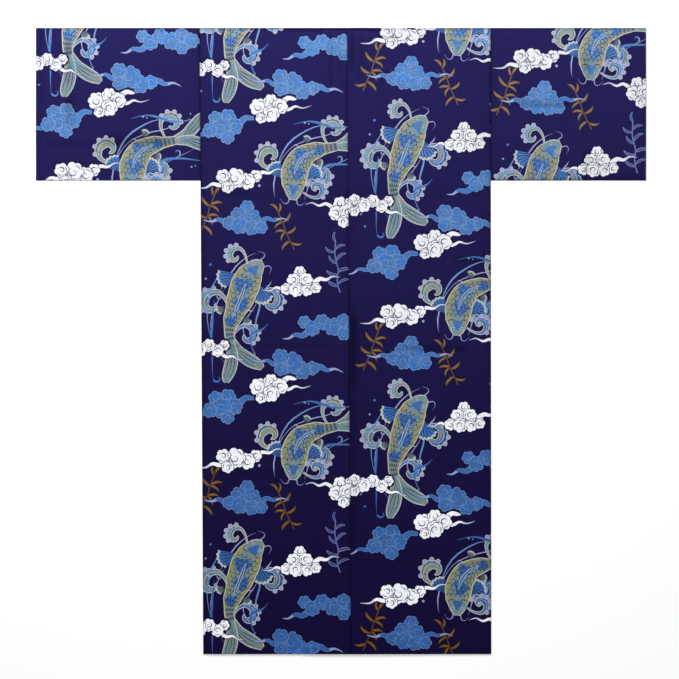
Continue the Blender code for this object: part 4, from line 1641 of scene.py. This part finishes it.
# The eight lengths of cloth, each with the place of its print
make_body("body_left", -1, (-0.355, 0.0), "cotton_left")
make_body("body_right", 1, (0.020, 0.330), "cotton_right")
make_sleeve("sleeve_left", -1, (-0.725, 0.21), "cotton_sleeve_left")
make_sleeve("sleeve_right", 1, (0.325, 0.47), "cotton_sleeve_right")
make_okumi("okumi_left", -1, (-0.20, 0.10), "cotton_okumi_left")
make_okumi("okumi_right", 1, (-0.10, 0.40), "cotton_okumi_right")
make_band("collar_cover", COVER_END, False, (-0.15, 0.05), "cotton_collar_cover")
make_band("collar", COLLAR_END, True, (-0.20, 0.35), "cotton_collar")

# Stitches, in metres
STITCH_EVERY = 0.0115
STITCH_HALF = 0.0011
THREAD_HALF = 0.00024
ABOVE_CLOTH = 0.00008
TACK_STITCHES = 7
TACK_FOOT = 0.0035
TACK_EVERY = 0.0011
TACK_IN = 0.0030


def place_on(tube, x, y):
    """A place on the back, and the way the cloth faces there."""
    flat = np.array([[x, y - tube.foot]])
    at = tube.place(flat[:, 0], flat[:, 1], False)[0]
    return Vector(at), Vector(normals_of(tube, flat, False)[0])


def stitch_rows():
    """Each visible stitch: its cloth, its place and the way it runs, from hem, cuffs and underarms."""
    rows = []
    for side in (-1, 1):
        body, sleeve = Body(side), Sleeve(side)
        for x in np.arange(0.014, abs(side_line(side, HEM)) - 0.008, STITCH_EVERY):
            rows.append((body, side * float(x), HEM + HEM_FOLD, 0.0))
        for y in np.arange(SLEEVE_BOTTOM + 0.010, TOP - 0.010, STITCH_EVERY):
            rows.append((sleeve, SLEEVE_END[side] - side * CUFF_FOLD, float(y), math.pi / 2))
        for k in range(TACK_STITCHES):
            y = SLEEVE_BOTTOM + TACK_FOOT + TACK_EVERY * k
            rows.append((sleeve, side_line(side, y) + side * TACK_IN, y, 0.0))
    return rows


def one_stitch():
    """A short bow of thread, thinner at its ends, which dip into the cloth."""
    bpy.ops.object.select_all(action="DESELECT")
    bpy.ops.mesh.primitive_cylinder_add(
        vertices=8, radius=THREAD_HALF, depth=2 * STITCH_HALF, rotation=(0, math.pi / 2, 0)
    )
    stitch = bpy.context.object
    bpy.ops.object.transform_apply(location=False, rotation=True, scale=True)
    bpy.ops.object.mode_set(mode="EDIT")
    for share in (-0.65, -0.25, 0.25, 0.65):
        bpy.ops.mesh.select_all(action="SELECT")
        bpy.ops.mesh.bisect(plane_co=(share * STITCH_HALF, 0, 0), plane_no=(1, 0, 0))
    for beyond, sink in ((0.5, -0.00010), (0.9, -0.00022)):
        bpy.ops.mesh.select_all(action="DESELECT")
        thread = bmesh.from_edit_mesh(stitch.data)
        for vertex in thread.verts:
            vertex.select = abs(vertex.co.x) > beyond * STITCH_HALF
        thread.select_flush(True)
        bmesh.update_edit_mesh(stitch.data)
        bpy.ops.transform.translate(value=(0, 0, sink))
        bpy.ops.transform.resize(value=(1, 0.78, 1))
    bpy.ops.object.mode_set(mode="OBJECT")
    return stitch


def sew():
    """All the stitches, joined in one object."""
    pattern = one_stitch()
    copies = []
    for tube, x, y, turn in stitch_rows():
        at, out = place_on(tube, x, y)
        copy = bpy.data.objects.new("stitch", pattern.data.copy())
        bpy.context.collection.objects.link(copy)
        lean = Vector((0, 0, 1)).rotation_difference(out).to_matrix().to_4x4()
        copy.matrix_world = Matrix.Translation(at + out * ABOVE_CLOTH) @ lean @ Matrix.Rotation(turn, 4, "Z")
        copies.append(copy)
    bpy.data.objects.remove(pattern)
    bpy.ops.object.select_all(action="DESELECT")
    for copy in copies:
        copy.select_set(True)
    bpy.context.view_layer.objects.active = copies[0]
    bpy.ops.object.join()
    bpy.ops.object.transform_apply(location=True, rotation=True, scale=True)
    bpy.ops.object.shade_smooth()
    return bpy.context.object


stitches = sew()
stitches.name = "stitches"
stitches.data.name = "stitches"
stitches.data.materials.append(navy_thread("cotton_thread"))
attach(stitches, "root")

# Floor, light and camera
bpy.ops.mesh.primitive_plane_add(size=14.0, location=(0.0, 0.0, -0.0002))
floor = bpy.context.object
floor.name = "floor"
bpy.ops.object.transform_apply(location=True, rotation=True, scale=True)
paper = Finish("pale_floor", 0.9, 0.2)
paper.feed(paper.shader.inputs["Base Color"], (0.93, 0.93, 0.93, 1.0))
floor.data.materials.append(paper.material)


def soft_light(name, place, aim, size, watts):
    """A square light that faces a place."""
    data = bpy.data.lights.new(name, "AREA")
    data.shape = "SQUARE"
    data.size = size
    data.energy = watts
    lamp = bpy.data.objects.new(name, data)
    bpy.context.collection.objects.link(lamp)
    lamp.location = place
    lamp.rotation_euler = (Vector(aim) - Vector(place)).to_track_quat("-Z", "Y").to_euler()


soft_light("shoulder_light", place=(-1.0, 2.5, 2.3), aim=(0.0, 0.45, 0.0), size=1.6, watts=112)
soft_light("room_light", place=(1.2, -1.6, 5.0), aim=(0.0, -0.3, 0.0), size=4.0, watts=104)
world = bpy.data.worlds.new("room")
bpy.context.scene.world = world
world.use_nodes = True
background = world.node_tree.nodes["Background"]
background.inputs["Color"].default_value = (1.0, 1.0, 1.0, 1.0)
background.inputs["Strength"].default_value = 0.40

camera_data = bpy.data.cameras.new("camera")
camera_data.lens = 100.0
camera_data.sensor_width = 36.0
camera_data.clip_end = 50.0
camera = bpy.data.objects.new("camera", camera_data)
bpy.context.collection.objects.link(camera)
camera.location = (-0.0183, 0.0034, 4.318)
bpy.context.scene.camera = camera
bpy.context.scene.view_settings.view_transform = "Standard"
